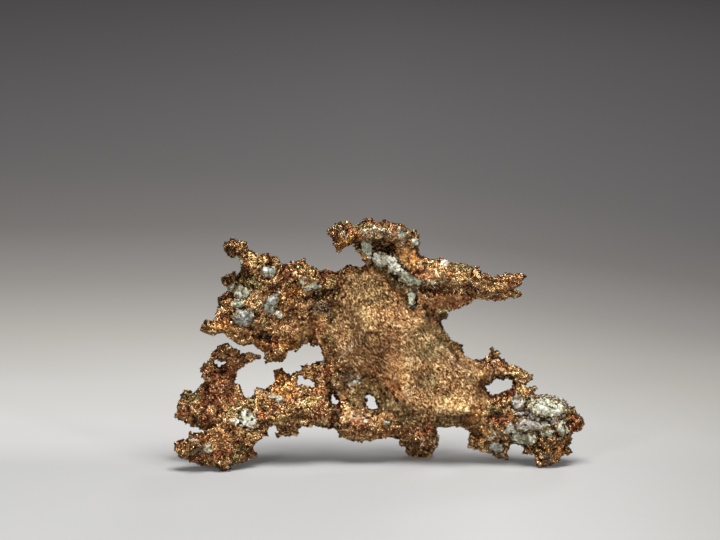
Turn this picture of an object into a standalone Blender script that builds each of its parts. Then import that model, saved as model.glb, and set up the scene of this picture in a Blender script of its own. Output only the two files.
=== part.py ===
"""A native copper nugget, 150 mm wide: one ragged, folded mass of copper that stands on three feet,
with lumps of pale matrix mineral caught in it.

Every shape is drawn on the nugget's broad face, in millimetres: u to the right, v up, and d for depth,
away from the viewer. The face leans back by LEAN when the nugget stands, so +Z is up and +Y is behind.
"""

import math
from collections import namedtuple

import bmesh
import bpy
import numpy as np
from mathutils import Matrix, Vector, noise
from mathutils.bvhtree import BVHTree

MM = 0.001
LEAN = math.radians(11)  # the broad face leans back by this much when the nugget stands
FORWARD = 0.045  # share of its height up the face by which every place is brought forward
FLOOR_V = 2.9  # height up the face, at no depth, of the plane that the three feet stand on

SLAB_HALF = 3.0  # half thickness of the plain slab that each lobe starts from
SLAB_VOXEL = 0.9
FUSE_VOXEL = 0.75
CARVED_VOXEL = 0.6
PIN_REACH = 5.0  # how gently the depths and thicknesses of two pins blend
RELIEF_MARGIN = 2.0  # folds and dents fade out over this distance from a lobe's edge
DENT_FILL = 0.75  # share of a dent's radius that lies at its full depth
SPINE_SIDES = 7
SPINE_TIP = 0.45  # of the root's radius
COPPER_TRIANGLES = 8300

LUMP_VOXEL = 0.55
LUMP_TRIANGLES = 90
LUMP_EDGE = 0.35  # share of a lump's thickness that is left at its edge
LUMP_SHOULDER = 0.3  # of its thickness: how far in from its edge a lump reaches most of its height
LUMP_SCALE, LUMP_HEIGHT = 1.9, 0.5  # how uneven a lump is
SEAT_SHARE = 0.8  # share of a lump's outline within which it is seated on the copper
POCKET_GAP = 0.7  # clear space round each mineral lump in its pocket
POCKET_REACH = 4.0  # a pocket is cut this far out of the surface, so that nothing covers its lump
BEYOND = 60.0  # a depth in front of or behind the whole nugget
FLOOR_BLOCK = (300.0, 300.0, 20.0)

# A pin fixes a lobe's mid depth and thickness at one place on the face; between pins they blend.
Pin = namedtuple("Pin", "u v depth thick")
Lobe = namedtuple("Lobe", "name outline holes edge shoulder pins")
# A spine is a blunt spike of copper, from a root to a tip, each given as u, v and depth.
Spine = namedtuple("Spine", "root tip radius")
# A fold is a rounded ridge, or a groove where its height is negative, along a line on the front.
Fold = namedtuple("Fold", "line width height")
# A dent is a round hollow on the front, or a bump where its depth is negative.
Dent = namedtuple("Dent", "u v radius depth")
# A lump is a block of matrix mineral: its outline on the face, its thickness, how far it stands
# proud of the copper round it, and the side of the nugget that it is on.
Lump = namedtuple("Lump", "name slot outline thick proud side")
FRONT, BACK = -1, 1

PLATE = Lobe(
    "plate",
    [(-15, 73.5), (-12, 74.6), (-8, 74.4), (-5, 74), (-3, 76), (2, 77), (8, 72), (14, 66), (19, 59),
     (21.5, 55), (22.5, 53.5), (22.8, 52), (24.3, 50.5), (24.8, 48.5), (26.2, 47), (27, 45.8),
     (29, 45.4), (30.5, 44.8), (30.8, 43.7), (30.2, 42.6), (30.6, 41.5), (33, 41.5), (34.2, 40.6),
     (38, 40.4), (42, 38), (41, 33.5), (38.5, 31), (39, 29), (41.5, 27), (42, 24), (38, 19),
     (33, 17.2), (29, 16.3), (25, 16.2), (21, 17), (14, 17.5), (9, 22), (5, 27), (1.5, 30.5),
     (-3, 35), (-9, 33), (-14, 29.5), (-18, 31), (-20, 36), (-20.5, 40), (-21, 43), (-20.8, 45),
     (-22.5, 46.2), (-24, 50), (-22, 58), (-19, 65)],
    [], 3.2, 7.0,
    [Pin(-12, 68, -10, 11), Pin(4, 68, -10.5, 12), Pin(-17, 52, -6, 10), Pin(0, 52, -9, 17),
     Pin(16, 50, -8.5, 16), Pin(-14, 36, -4, 9), Pin(4, 36, -6, 13), Pin(24, 38, -6, 15),
     Pin(34, 32, -5.5, 12), Pin(14, 22, -5.5, 10), Pin(30, 21, -7, 13)],
)
LEFT_WING = Lobe(
    "left_wing",
    [(-55.5, 84), (-52, 83.2), (-49.5, 83.8), (-47.5, 83.5), (-47, 81.5), (-45.5, 79.5), (-43, 79),
     (-40.5, 79.2), (-37.5, 78), (-35.8, 77), (-35.5, 75.7), (-33, 75.8), (-30, 76), (-27, 76.3),
     (-25, 75.5), (-22.5, 75), (-21.5, 73.8), (-20, 74.2), (-18.5, 73.4), (-17, 73.7), (-15.5, 73),
     (-12, 70), (-12, 60), (-16, 52), (-20, 47), (-22, 45.8), (-23, 45), (-24.5, 45.5),
     (-26, 46.5), (-27.5, 46), (-28, 44.5), (-29.5, 43), (-30.5, 43.5), (-32, 44), (-33.5, 43.5),
     (-34.2, 42), (-34.2, 40.2), (-36, 40.2), (-38, 40.7), (-39, 40.2), (-40, 38.9), (-41.2, 38.9),
     (-41.8, 40.2), (-40.5, 41), (-41.8, 42.2), (-40, 43.5), (-42.5, 44.2), (-45.5, 45),
     (-48, 45.8), (-50.5, 45.9), (-53, 46.8), (-54.5, 48), (-55.5, 49.2), (-58, 50), (-61, 49.9),
     (-63.5, 50.3), (-64.6, 52), (-64.5, 54), (-63.5, 55), (-61, 55.2), (-60, 56), (-59, 57),
     (-59.5, 58.5), (-58.5, 60), (-59, 62), (-58, 64.5), (-56, 65.2), (-54, 66.3), (-56.5, 67.5),
     (-58.2, 69), (-57.8, 70.3), (-55.5, 71.2), (-53, 72.4), (-50.5, 72.2), (-49.7, 73.5),
     (-50.2, 75.3), (-51.5, 77), (-54, 77.6), (-55, 79), (-55.8, 81.5)],
    [], 2.6, 4.0,
    [Pin(-53, 81, -17, 9), Pin(-42, 76, -13, 11), Pin(-28, 73, -8, 11), Pin(-57, 69, -7, 6),
     Pin(-47, 64, -10, 13), Pin(-30, 62, -5, 12), Pin(-18, 62, -3, 9), Pin(-61, 52.5, -15, 6),
     Pin(-49, 53, -10, 11), Pin(-34, 50, -5, 11), Pin(-24, 49, -1, 8), Pin(-37, 42, -6, 4)],
)
LEFT_ARM = Lobe(
    "left_arm",
    [(-61.8, 41.2), (-61.5, 43), (-60, 44), (-58.5, 45.3), (-55, 46.2), (-53.5, 45.5),
     (-51.5, 45), (-50, 44), (-48.5, 44.8), (-47, 44.3), (-47, 43.2), (-45.5, 43.2), (-43.6, 42),
     (-43.5, 40.8), (-45, 40.8), (-46.3, 40.3), (-46.6, 38.5), (-48, 38), (-48.5, 37),
     (-49.8, 37.2), (-50.3, 38.2), (-51, 36), (-51.8, 34.8), (-52, 33), (-51.2, 31), (-50.3, 29),
     (-50, 27.5), (-48, 27), (-46, 26.3), (-42, 24), (-40, 18), (-43.5, 11), (-50, 9), (-58, 10),
     (-63, 15), (-65, 15.7), (-67, 16.5), (-67.5, 15), (-68.5, 16.5), (-70.5, 17.5), (-72, 18.8),
     (-73.5, 19.6), (-75, 20.5), (-74.2, 21.7), (-73.6, 23), (-73.5, 24.8), (-72.7, 26.2),
     (-71.5, 26.8), (-72.2, 28), (-71, 29.3), (-69, 30), (-67, 29.3), (-65.5, 28.5), (-66.2, 29.8),
     (-65.3, 30.7), (-63.8, 31.8), (-64.2, 33.2), (-64.3, 34.5), (-62.5, 35.5), (-64, 36),
     (-64.2, 37.3), (-62.8, 38.2), (-61.5, 39.2), (-60.8, 40)],
    [[(-60.6, 39.2), (-59.8, 41.4), (-57.2, 42.2), (-55.4, 40.8), (-56.4, 38.4), (-59.2, 37.6)]],
    2.4, 3.5,
    [Pin(-55, 43.5, -2, 6), Pin(-46, 42, -7, 4), Pin(-57, 36, -2, 9), Pin(-57, 27, -4, 12),
     Pin(-70, 24, 2, 8), Pin(-49, 20, -7, 11), Pin(-62, 20, -4, 11), Pin(-52, 12, -9, 10)],
)
LEFT_FOOT = Lobe(
    "left_foot",
    [(-60, 17), (-63, 15), (-64.5, 14.3), (-67, 13.8), (-70, 12.3), (-72.5, 11.2), (-74, 10.3),
     (-74.8, 9.2), (-74, 7.8), (-73.6, 6.2), (-73.8, 5), (-72.5, 4.4), (-70, 4), (-67, 2.6),
     (-64, 1.8), (-60, 1.4), (-58.8, 1), (-57.8, -1.2), (-55.4, -1.2), (-54.8, 1.3), (-52.5, 2.8),
     (-50, 3), (-47.5, 4), (-46.5, 5.3), (-44.5, 5.5), (-42.8, 6.3), (-44.5, 7), (-45.2, 7.5),
     (-45, 9.5), (-43.6, 10), (-44, 11.8), (-43.5, 14), (-48, 19), (-55, 20)],
    [], 3.4, 3.5,
    [Pin(-70, 8, -14, 10), Pin(-57, 1, -14, 9), Pin(-58, 10, -12, 14), Pin(-48, 8, -9, 10),
     Pin(-52, 17, -7, 11)],
)
BRIDGE = Lobe(
    "bridge",
    [(-48, 25.5), (-46, 26.3), (-44, 26.2), (-43.5, 27.8), (-45.3, 28.9), (-44.5, 29.8),
     (-42, 29.7), (-40, 30.5), (-39.8, 31.8), (-38.5, 33), (-39, 35), (-39.2, 36.5),
     (-38.7, 37.7), (-36, 37.9), (-34.8, 36.8), (-33.5, 36.2), (-31, 35.3), (-30.5, 33.5),
     (-28.5, 32.5), (-28.7, 31.4), (-27, 30.5), (-25, 30.3), (-22, 31.4), (-18, 32), (-13, 29),
     (-12, 22), (-13, 15), (-15, 14.5), (-18, 14.6), (-20, 15.3), (-23, 15.4), (-26, 15.7),
     (-28.5, 15.6), (-30, 14.7), (-28.7, 14), (-28.5, 13), (-30, 12.3), (-33, 12.5), (-36, 12.2),
     (-38, 11.7), (-41, 12.4), (-44, 13), (-48, 16)],
    [[(-17.4, 27.2), (-16.4, 28.4), (-15.2, 27.2), (-15, 25), (-15.8, 22.8), (-17, 24.4)],
     [(-41.2, 14.2), (-39.8, 16.4), (-37, 16.4), (-36.4, 14.4), (-39.4, 13.2)],
     [(-34.4, 14), (-34, 15), (-31.4, 15.2), (-30.6, 14.2), (-32.4, 13.7)]],
    2.4, 3.5,
    [Pin(-37, 36, 0, 5), Pin(-44, 20, -6, 10), Pin(-34, 28, -3, 9), Pin(-32, 19, -7, 12),
     Pin(-22, 22, -5, 12), Pin(-15, 20, -1, 8), Pin(-36, 12.8, -4, 4), Pin(-15, 30, -1, 6)],
)
LEFT_SPUR = Lobe(
    "left_spur",
    [(-16, 42), (-20.5, 40), (-23, 39.6), (-26, 39.5), (-28, 39), (-28.3, 37.5), (-28.5, 36.5),
     (-30, 36), (-31.6, 35.8), (-31.6, 34.6), (-29, 34.4), (-27, 34), (-25, 33.3), (-23.5, 32.3),
     (-22.8, 30.8), (-18, 29.5), (-14, 34)],
    [], 2.6, 3.0,
    [Pin(-30, 35.3, -1.5, 4), Pin(-25, 37, -1, 5), Pin(-17, 36, -2, 7)],
)
SKIRT = Lobe(
    "skirt",
    [(-16.8, 21), (-16, 17), (-15, 14.5), (-14.4, 13.5), (-13.8, 11.6), (-12, 11.4),
     (-9, 10.8), (-5, 10.8), (-2, 11.5), (1, 12), (5, 11.6), (8.5, 11), (12, 10), (18, 10),
     (21, 14.2), (20.7, 15.3), (22, 16), (27, 17), (30, 22), (20, 28), (12, 32), (2, 36), (-8, 37),
     (-14, 34), (-16.4, 28.4), (-15, 27), (-14.6, 25.2), (-15.6, 22.8)],
    [[(-6.6, 28.4), (-4.4, 27.2), (-3, 27.4), (-1.6, 25), (0.4, 22.2), (-2.4, 22.6), (-5.2, 23),
      (-4.8, 24.8), (-5.6, 26.4)]],
    2.4, 3.0,
    [Pin(-12, 20, -3, 11), Pin(-6, 28, 1, 4), Pin(0, 16, -2, 12), Pin(10, 24, -1, 8),
     Pin(16, 14, 2, 9), Pin(24, 22, -2, 9)],
)
MIDDLE_FOOT = Lobe(
    "middle_foot",
    [(8, 20), (7.4, 11.2), (8.2, 9.2), (10.5, 8), (12.2, 7.4), (10.8, 6.4), (12, 5.8), (14.5, 5),
     (18, 5.1), (20.6, 5.7), (20, 8), (21, 9), (22.2, 9.2), (22, 11), (22.3, 13.2), (21, 14.2),
     (22, 22), (15, 26)],
    [], 3.4, 3.0,
    [Pin(16, 23, -1, 8), Pin(16, 16, 3, 10), Pin(16, 11, 8.5, 11), Pin(16, 5, 13, 8)],
)
RIGHT_LOWER = Lobe(
    "right_lower",
    [(30, 30), (27, 18), (29, 16.3), (31.5, 15.3), (33, 14), (33.5, 12.8), (32.8, 11.8), (33, 10),
     (34.5, 8.8), (36, 8), (37.5, 7), (40, 6.7), (42, 5.8), (44, 5.2), (46, 4.4), (47.3, 3.7),
     (48.2, 4.6), (48.3, 6), (47, 6.7), (46.5, 8), (47.5, 9.8), (49, 10.8), (50, 10.8), (52, 9.7),
     (53.5, 8.8), (54, 7), (55, 6.3), (56, 7.2), (57, 7.6), (56.7, 5), (56, 3.2), (57.5, 2),
     (57.9, 0.4), (60, 0.6), (61, 1.8), (63.5, 2.2), (65.5, 4.2), (66.5, 5.5), (68, 6.8),
     (69.7, 7.5), (69.5, 8.5), (68.8, 9), (69.9, 10), (70.5, 12), (70.4, 13.5), (70.8, 14.2),
     (73, 14.8), (74.5, 16), (75, 17.5), (74.5, 19.3), (73, 20.5), (71, 20.4), (71.4, 21.3),
     (72, 23), (70.8, 23.6), (69.4, 23), (68.3, 23.5), (67, 25), (65.5, 26.8), (64.5, 27.4),
     (62, 27.8), (61.3, 26.9), (60.5, 28), (58, 28.1), (56.6, 28.2), (56.8, 29.4), (57.2, 30),
     (55.6, 30.4), (53.4, 30.7), (52, 32.2), (49.5, 33), (49.3, 31.2), (48, 30), (45.5, 30),
     (43.5, 29), (42, 28.4), (40.2, 29.2), (38, 30.6)],
    [], 3.2, 4.0,
    [Pin(34, 24, -4.5, 11), Pin(38, 12, -1, 10), Pin(46, 6, 2, 6), Pin(44, 20, -4, 11),
     Pin(52, 28, -6, 12), Pin(61, 23, -8, 17), Pin(53, 15, -6, 15), Pin(66, 14, -6, 14),
     Pin(72.5, 17.5, -2, 10), Pin(60, 8, -7, 10), Pin(59, 1.5, -7, 8)],
)
RIGHT_LOOP = Lobe(
    "right_loop",
    [(28, 36), (31, 41), (34, 40.6), (38.3, 40.6), (38.7, 42.2), (40, 43.5), (40.3, 44.9),
     (42, 44.9), (44.2, 44.2), (44.3, 43), (45.2, 42.2), (45.2, 40.8), (46, 40.3), (47.5, 38.8),
     (48, 38), (49.7, 38.5), (51, 37.8), (52.5, 37.3), (54, 37.4), (54.5, 36.2), (56, 36),
     (57.6, 34.8), (56, 34), (54.6, 33.2), (52.6, 32.8), (51, 30), (49.3, 31.2), (49.2, 32.5),
     (48, 33.4), (46, 32.8), (44, 33.6), (43, 33.2), (41, 31.8), (39, 31.8), (34, 30)],
    [], 2.6, 3.0,
    [Pin(34, 37, -5, 10), Pin(42, 42.5, -1, 7), Pin(46, 36, -2, 8), Pin(55, 35, 2, 6),
     Pin(51, 32, -4, 8)],
)
TOP_BAR = Lobe(
    "top_bar",
    [(-18.8, 86.5), (-17.8, 87.2), (-18, 88.5), (-16.5, 89.5), (-15.5, 91), (-13.5, 91.6),
     (-11.5, 91), (-10, 89.9), (-7.5, 90.3), (-6, 90.8), (-5.5, 92.2), (-3.5, 91.9), (-2.5, 91),
     (0, 90.4), (2, 90.3), (5, 89.8), (8, 88.8), (8.5, 87.8), (11.5, 88), (14, 87.5), (15, 87),
     (16.3, 86), (15, 86), (14.3, 84.5), (14.8, 83), (13.5, 81.7), (11, 82.3), (6, 83.3),
     (0, 84.3), (-5, 83.5), (-9.5, 81.8), (-12, 81.7), (-13.5, 80.3), (-14.7, 79.2),
     (-15.8, 80.3), (-16.8, 82), (-16.2, 83.5), (-16.8, 85)],
    [], 2.8, 3.0,
    [Pin(-14, 86, -18.5, 12), Pin(-5, 88, -17, 11), Pin(5, 87, -16, 11), Pin(14, 85, -13, 7)],
)
TOP_NECK = Lobe(
    "top_neck",
    [(-10.3, 82), (-9.8, 81), (-8.5, 80), (-7, 79), (-5.5, 78), (-4.6, 77), (-6, 74.3), (-2, 68),
     (10, 66), (16, 70), (14, 80), (14.5, 84), (8, 88), (-2, 89), (-9, 88)],
    [], 3.0, 4.0,
    [Pin(-6, 84, -11, 11), Pin(4, 84, -9, 8), Pin(-3, 77, -8, 10), Pin(8, 76, -9, 10),
     Pin(6, 69, -8, 10)],
)
RIGHT_WING = Lobe(
    "right_wing",
    [(6, 83), (13.5, 80), (15, 79), (19, 78.7), (21, 78.1), (24, 76.8), (28, 75.5), (31, 75),
     (34, 74.3), (36, 73.4), (37, 72.5), (38.5, 71.8), (39, 70.3), (41, 70), (43.5, 70.3),
     (45, 70.6), (46.3, 71.6), (48.5, 71.8), (50, 71), (52, 71.4), (53, 70.5), (51.5, 69.3),
     (50.8, 68), (49.8, 66.8), (49.2, 65.6), (40, 64.5), (33, 66), (27, 67.5), (18, 67.5), (14, 68.5),
     (8, 72), (4, 77)],
    [], 2.6, 3.5,
    [Pin(9, 78, -12, 10), Pin(16, 74, -14, 11), Pin(28, 71.5, -17, 12), Pin(38, 69, -16, 9),
     Pin(50, 70.5, -14, 6)],
)
RIGHT_WING_UNDER = Lobe(
    "right_wing_under",
    [(4, 72), (14, 74), (28, 72), (42, 69), (50.5, 66), (52, 65), (51.7, 63.8), (50, 63.3),
     (47, 62.3), (43, 61.8), (40, 61.9), (38.8, 61.3), (37, 62), (35, 62.8), (34.3, 61.3),
     (32, 60), (29, 58.3), (27, 58.3), (25, 59), (24.2, 57.8), (25.5, 56.5), (24, 55.3),
     (21.5, 54.6), (14, 52), (6, 60)],
    [], 2.6, 3.5,
    [Pin(12, 64, -7, 10), Pin(20, 60, -6, 10), Pin(30, 63, -9, 10), Pin(42, 65, -11, 8),
     Pin(50, 64.5, -8, 5), Pin(16, 70, -9, 9)],
)
LOBES = [PLATE, LEFT_WING, LEFT_ARM, LEFT_FOOT, BRIDGE, LEFT_SPUR, SKIRT, MIDDLE_FOOT,
         RIGHT_LOWER, RIGHT_LOOP, TOP_BAR, TOP_NECK, RIGHT_WING, RIGHT_WING_UNDER]

SPINES = [
    Spine((-46, 6.6, -9), (-41.4, 6.3, -9), 1.9), Spine((-70, 7.5, -14), (-74.2, 8.6, -13), 1.8),
    Spine((-57, 3, -14), (-56.8, -1, -14.5), 1.8), Spine((-71, 20.5, 1), (-75.4, 20.3, 0), 1.7),
    Spine((-66, 28, 0), (-66.4, 31, 0), 1.6), Spine((-62, 37, -2), (-65, 36.6, -2), 1.6),
    Spine((-46.5, 42.4, -7), (-42.4, 41.2, -8), 1.7), Spine((-60.5, 52.5, -13), (-65.2, 52.6, -15), 1.8),
    Spine((-57.5, 58.6, -7), (-60.6, 58.8, -7), 1.4), Spine((-56, 69.4, -6), (-59, 69.4, -7), 1.6),
    Spine((-16.5, 86.5, -17), (-19.4, 86.4, -17), 1.6), Spine((-4.7, 89.5, -16), (-4.7, 92.3, -15), 1.6),
    Spine((13.5, 86.5, -12), (17, 86.2, -12), 1.7), Spine((-14.6, 82, -17), (-15, 78.8, -16), 1.6),
    Spine((49, 70.4, -13), (53.4, 70.8, -13), 1.6), Spine((48.5, 65, -8), (52.4, 64.6, -8), 1.6),
    Spine((23, 57.3, -6), (27, 56.4, -7), 1.6), Spine((27, 46.6, -6), (31, 44.8, -6), 1.6),
    Spine((41.5, 42.5, -1), (41.2, 45.6, -1), 1.6), Spine((43, 43, -1), (45.6, 44.4, -1), 1.6),
    Spine((53, 36.6, 1), (58, 35.1, 2), 1.7), Spine((54, 29.6, -3), (57.8, 30, -3), 1.4),
    Spine((72, 17.8, -2), (75.2, 17.6, -2), 1.8), Spine((69.6, 21.6, -4), (71.4, 24, -4), 1.6),
    Spine((45.6, 6.2, 2), (48.4, 3.8, 2), 1.6), Spine((57.8, 4, -7), (59, 0.4, -7.4), 1.8),
    Spine((-32, 12.9, -4), (-27.8, 12.6, -4), 1.5), Spine((-29.5, 35.4, -1), (-33, 35.1, -1), 1.5),
    Spine((-43.6, 28.4, -3), (-46.6, 29.3, -3), 1.6), Spine((12.5, 7.2, 12), (9.2, 7.4, 12), 1.6),
    Spine((-37.8, 36, 0), (-39.6, 38.6, 0), 1.6), Spine((-36.4, 36, 0), (-34.6, 38.6, 0), 1.5),
    Spine((-39.6, 41.6, -6), (-41.2, 38, -6), 1.5), Spine((-36, 42, -6), (-34.2, 39, -6), 1.5),
    Spine((-14, 13.6, -2), (-14.8, 10.8, -2), 1.5), Spine((9, 9.8, 8), (6.8, 10, 8), 1.6),
    Spine((20.6, 8.4, 9), (22.8, 8, 9), 1.5), Spine((66.8, 8, -6), (70.4, 7.2, -6), 1.6),
    Spine((35, 9.8, 0), (32.2, 8.8, 0), 1.5), Spine((54, 8.4, -6), (52.8, 6, -6), 1.5),
    # standing out of the front
    Spine((-52, 80, -17), (-53, 81, -24), 2.6), Spine((-31, 71, -9), (-31, 72, -15.5), 2.4),
    Spine((-56, 55, -11), (-57, 55.5, -16.5), 2.2), Spine((-64, 9, -14), (-66, 9.6, -22), 2.8),
    Spine((-55, 29, -6), (-56, 30, -12), 2.4), Spine((-28, 22, -7), (-28, 22, -14.5), 2.4),
    Spine((38, 70, -16), (39, 70.6, -22.5), 2.2), Spine((8, 87.6, -15), (9, 88, -22), 2.2),
    Spine((-13, 87.6, -18), (-13.6, 87.8, -26), 2.4), Spine((43.6, 17, -5), (43.4, 17.4, -11), 2.2),
    # standing out of the back
    Spine((-44, 65, -5), (-45, 68, 1), 2.8), Spine((-28, 49, -2), (-29, 49, 5), 2.6),
    Spine((-6, 66, -5), (-7, 69, 2.5), 3.2), Spine((14, 46, -2), (15, 49, 5.5), 3.4),
    Spine((31, 29, -1), (32, 31, 7), 3.0), Spine((66, 24, -3), (68, 25, 4), 2.6),
    Spine((43, 12, 2), (44, 11, 8), 2.4), Spine((-22, 24, -2), (-22, 26, 5.5), 2.8),
    Spine((-56, 15, -5), (-58, 17, 4), 3.0), Spine((-69, 23, 3), (-70, 24, 8.5), 2.4),
    Spine((26, 70, -12), (27, 72, -5), 2.6), Spine((2, 84, -10), (2, 86.6, -3), 2.6),
    Spine((-57, 42, 0), (-58, 42.6, 5), 2.0), Spine((46, 37, 0), (47, 38, 5.5), 2.0),
]

FRONT_FOLDS = [
    Fold([(24, 45), (27, 42), (30, 38), (34, 35), (38, 34)], 2.2, 1.3),  # rim down the plate's right
    Fold([(9, 26), (14, 23.5), (22, 22.5), (30, 21.5), (36, 20.5)], 2.6, 1.7),  # crest at its foot
    Fold([(-14, 71.5), (-9, 72.8), (-5, 72)], 1.6, 0.8),
    Fold([(4.5, 46), (2, 43.2), (0, 41), (-2.5, 38)], 1.1, -1.2),  # crack in the plate
    Fold([(6.5, 46.5), (4, 43.5), (2, 41)], 1.2, 0.8),
    Fold([(3, 45), (6, 38), (9, 30), (13, 25)], 2.6, 0.8),
    Fold([(-3.5, 35.5), (0, 34), (2.5, 30.5), (7, 28)], 1.4, 1.2),  # lip over the hollow
    Fold([(-19, 37), (-16.5, 32.5), (-14.5, 28.5)], 1.2, 1.3),
    Fold([(-15, 44), (-11, 43), (-9, 40.5)], 1.5, 0.6),
    Fold([(-14, 69), (-17, 62), (-21, 56), (-22, 51), (-20, 47.5)], 1.7, -2.2),  # groove by the wing
    Fold([(-2, 76), (4, 70.5), (10, 65), (14, 60)], 1.5, -2.4),  # groove over the plate's shoulder
    Fold([(-44, 77.5), (-38, 77), (-30, 73), (-24, 70), (-17, 68)], 2.2, 1.8),
    Fold([(-31, 66.5), (-25, 64.5), (-19, 65)], 1.5, -1.6),
    Fold([(-54, 70), (-46, 68), (-36, 69.5)], 1.8, 1.4),
    Fold([(-56, 60), (-50, 60.5), (-44, 58)], 1.6, 1.2),
    Fold([(-53, 47.5), (-44, 46.5), (-34, 46), (-27, 48.5)], 1.7, 1.4),
    Fold([(-41.5, 49.3), (-39.5, 48), (-38, 46.8)], 1.1, -3.0),  # deep slot low on the wing
    Fold([(14.5, 69.5), (20, 69.5), (27, 69), (33, 67.8)], 1.6, 1.6),
    Fold([(16, 66.4), (26, 66.4), (36, 65)], 1.3, -1.6),
    Fold([(-43, 25), (-36, 25.8), (-28, 26.3)], 1.2, -1.4),
    Fold([(-44, 18.5), (-36, 19.5), (-27, 20)], 1.8, 1.5),
    Fold([(-34, 33), (-30, 29), (-24, 25), (-20, 21)], 1.8, 1.3),
    Fold([(-57, 38), (-58, 30), (-56, 22), (-53, 16)], 2.8, 1.5),
    Fold([(-72, 24), (-66, 21), (-60, 19)], 2.0, 1.2),
    Fold([(-12, 17.5), (-4, 15), (4, 15)], 1.8, 1.3),
    Fold([(-10, 20), (-2, 21), (6, 19.5), (12, 19)], 1.2, -1.4),
    Fold([(-10, 33), (-5, 30.5), (1, 28), (5, 23.5)], 1.0, 1.1),  # layers in the hollow
    Fold([(36, 16), (40, 12), (45, 7)], 1.8, 1.2),
    Fold([(40, 38.5), (45, 38), (52, 35.5)], 1.5, 1.0),
]
FRONT_DENTS = [
    Dent(-3, 47, 4.2, 1.1), Dent(-3, 47, 2.4, -0.8),  # ring-shaped dint in the plate
    Dent(-12, 34.5, 4.5, 1.6), Dent(17, 33, 5.5, 0.9), Dent(13, 41, 4.5, 0.7), Dent(-9, 61, 6, -1.0),
    Dent(12, 54, 6, -0.9), Dent(-2, 30, 5.0, 1.6), Dent(0, 81.5, 4.4, 4.2), Dent(4, 80, 2.8, 2.4),
    Dent(-50, 9, 2.4, 1.6), Dent(-65, 8, 3.4, -1.3), Dent(-45, 61.5, 2.6, 1.6),
    Dent(-36, 67, 2.6, 1.4), Dent(-57, 8, 2.2, 1.3), Dent(-70, 26, 3, -1.2), Dent(-62, 26, 2.4, 1.5),
    Dent(20, 62, 3.5, -1.2), Dent(17, 76, 3.0, -1.2), Dent(-13.5, 87, 3.5, -1.4), Dent(26, 62, 2.4, 1.4),
    Dent(44, 23, 3.0, -1.2), Dent(41, 20, 2.6, 2.0), Dent(38, 13, 3.0, -1.0), Dent(-30, 56, 2.6, 1.4),
    Dent(72.5, 17.5, 2.8, -1.4), Dent(62, 9, 3.0, -1.2), Dent(-27, 20, 2.2, 1.4), Dent(-8, 87, 2.0, 1.4),
]
BACK_FOLDS = [
    Fold([(-15, 70), (-6, 56), (3, 42), (14, 27)], 3.4, 3.2),  # backbone behind the plate
    Fold([(-56, 52), (-42, 57), (-27, 53), (-14, 48)], 2.6, 2.4),
    Fold([(-48, 76), (-38, 69), (-28, 66)], 2.2, 2.0),
    Fold([(6, 84), (12, 74), (22, 68), (36, 68)], 2.4, 2.2),
    Fold([(-70, 24), (-58, 20), (-44, 22), (-28, 19), (-16, 24)], 2.6, 2.4),
    Fold([(-60, 40), (-57, 30), (-54, 18)], 2.4, 1.8),
    Fold([(30, 36), (42, 24), (54, 22), (67, 16)], 3.0, 2.8),
    Fold([(18, 52), (26, 42), (32, 30)], 2.4, 1.8),
    Fold([(-10, 42), (-2, 36), (8, 36)], 1.4, -2.2),
    Fold([(-34, 61), (-26, 60), (-20, 64)], 1.3, -2.0),
    Fold([(48, 12), (56, 15), (62, 10)], 1.3, -2.0),
]
BACK_DENTS = [
    Dent(-44, 63, 6.5, -2.4), Dent(-3, 62, 8, -2.6), Dent(14, 50, 7, -2.2), Dent(30, 24, 6, -2.2),
    Dent(60, 20, 7, -2.6), Dent(-58, 12, 6, -2.2), Dent(-24, 25, 5, -1.8), Dent(0, 86, 5, -1.8),
    Dent(8, 57, 3.4, 2.8), Dent(-13, 55, 3.6, 2.6), Dent(24, 33, 3.4, 2.6), Dent(-5, 45, 3.0, 2.4),
    Dent(-50, 68, 3.0, 2.2), Dent(-33, 47.5, 2.6, 2.2), Dent(-66, 20, 2.6, 2.0), Dent(47, 27, 3.0, 2.6),
    Dent(67, 22, 2.6, 2.2), Dent(19, 73, 2.8, 2.2), Dent(-36, 25, 3.0, 2.4), Dent(4, 19, 3.0, 2.2),
    Dent(40, 14, 2.6, 2.0), Dent(-62, 6, 2.4, 1.8), Dent(-30, 72, 2.4, 1.8), Dent(33, 66, 2.2, 1.8),
]

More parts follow.
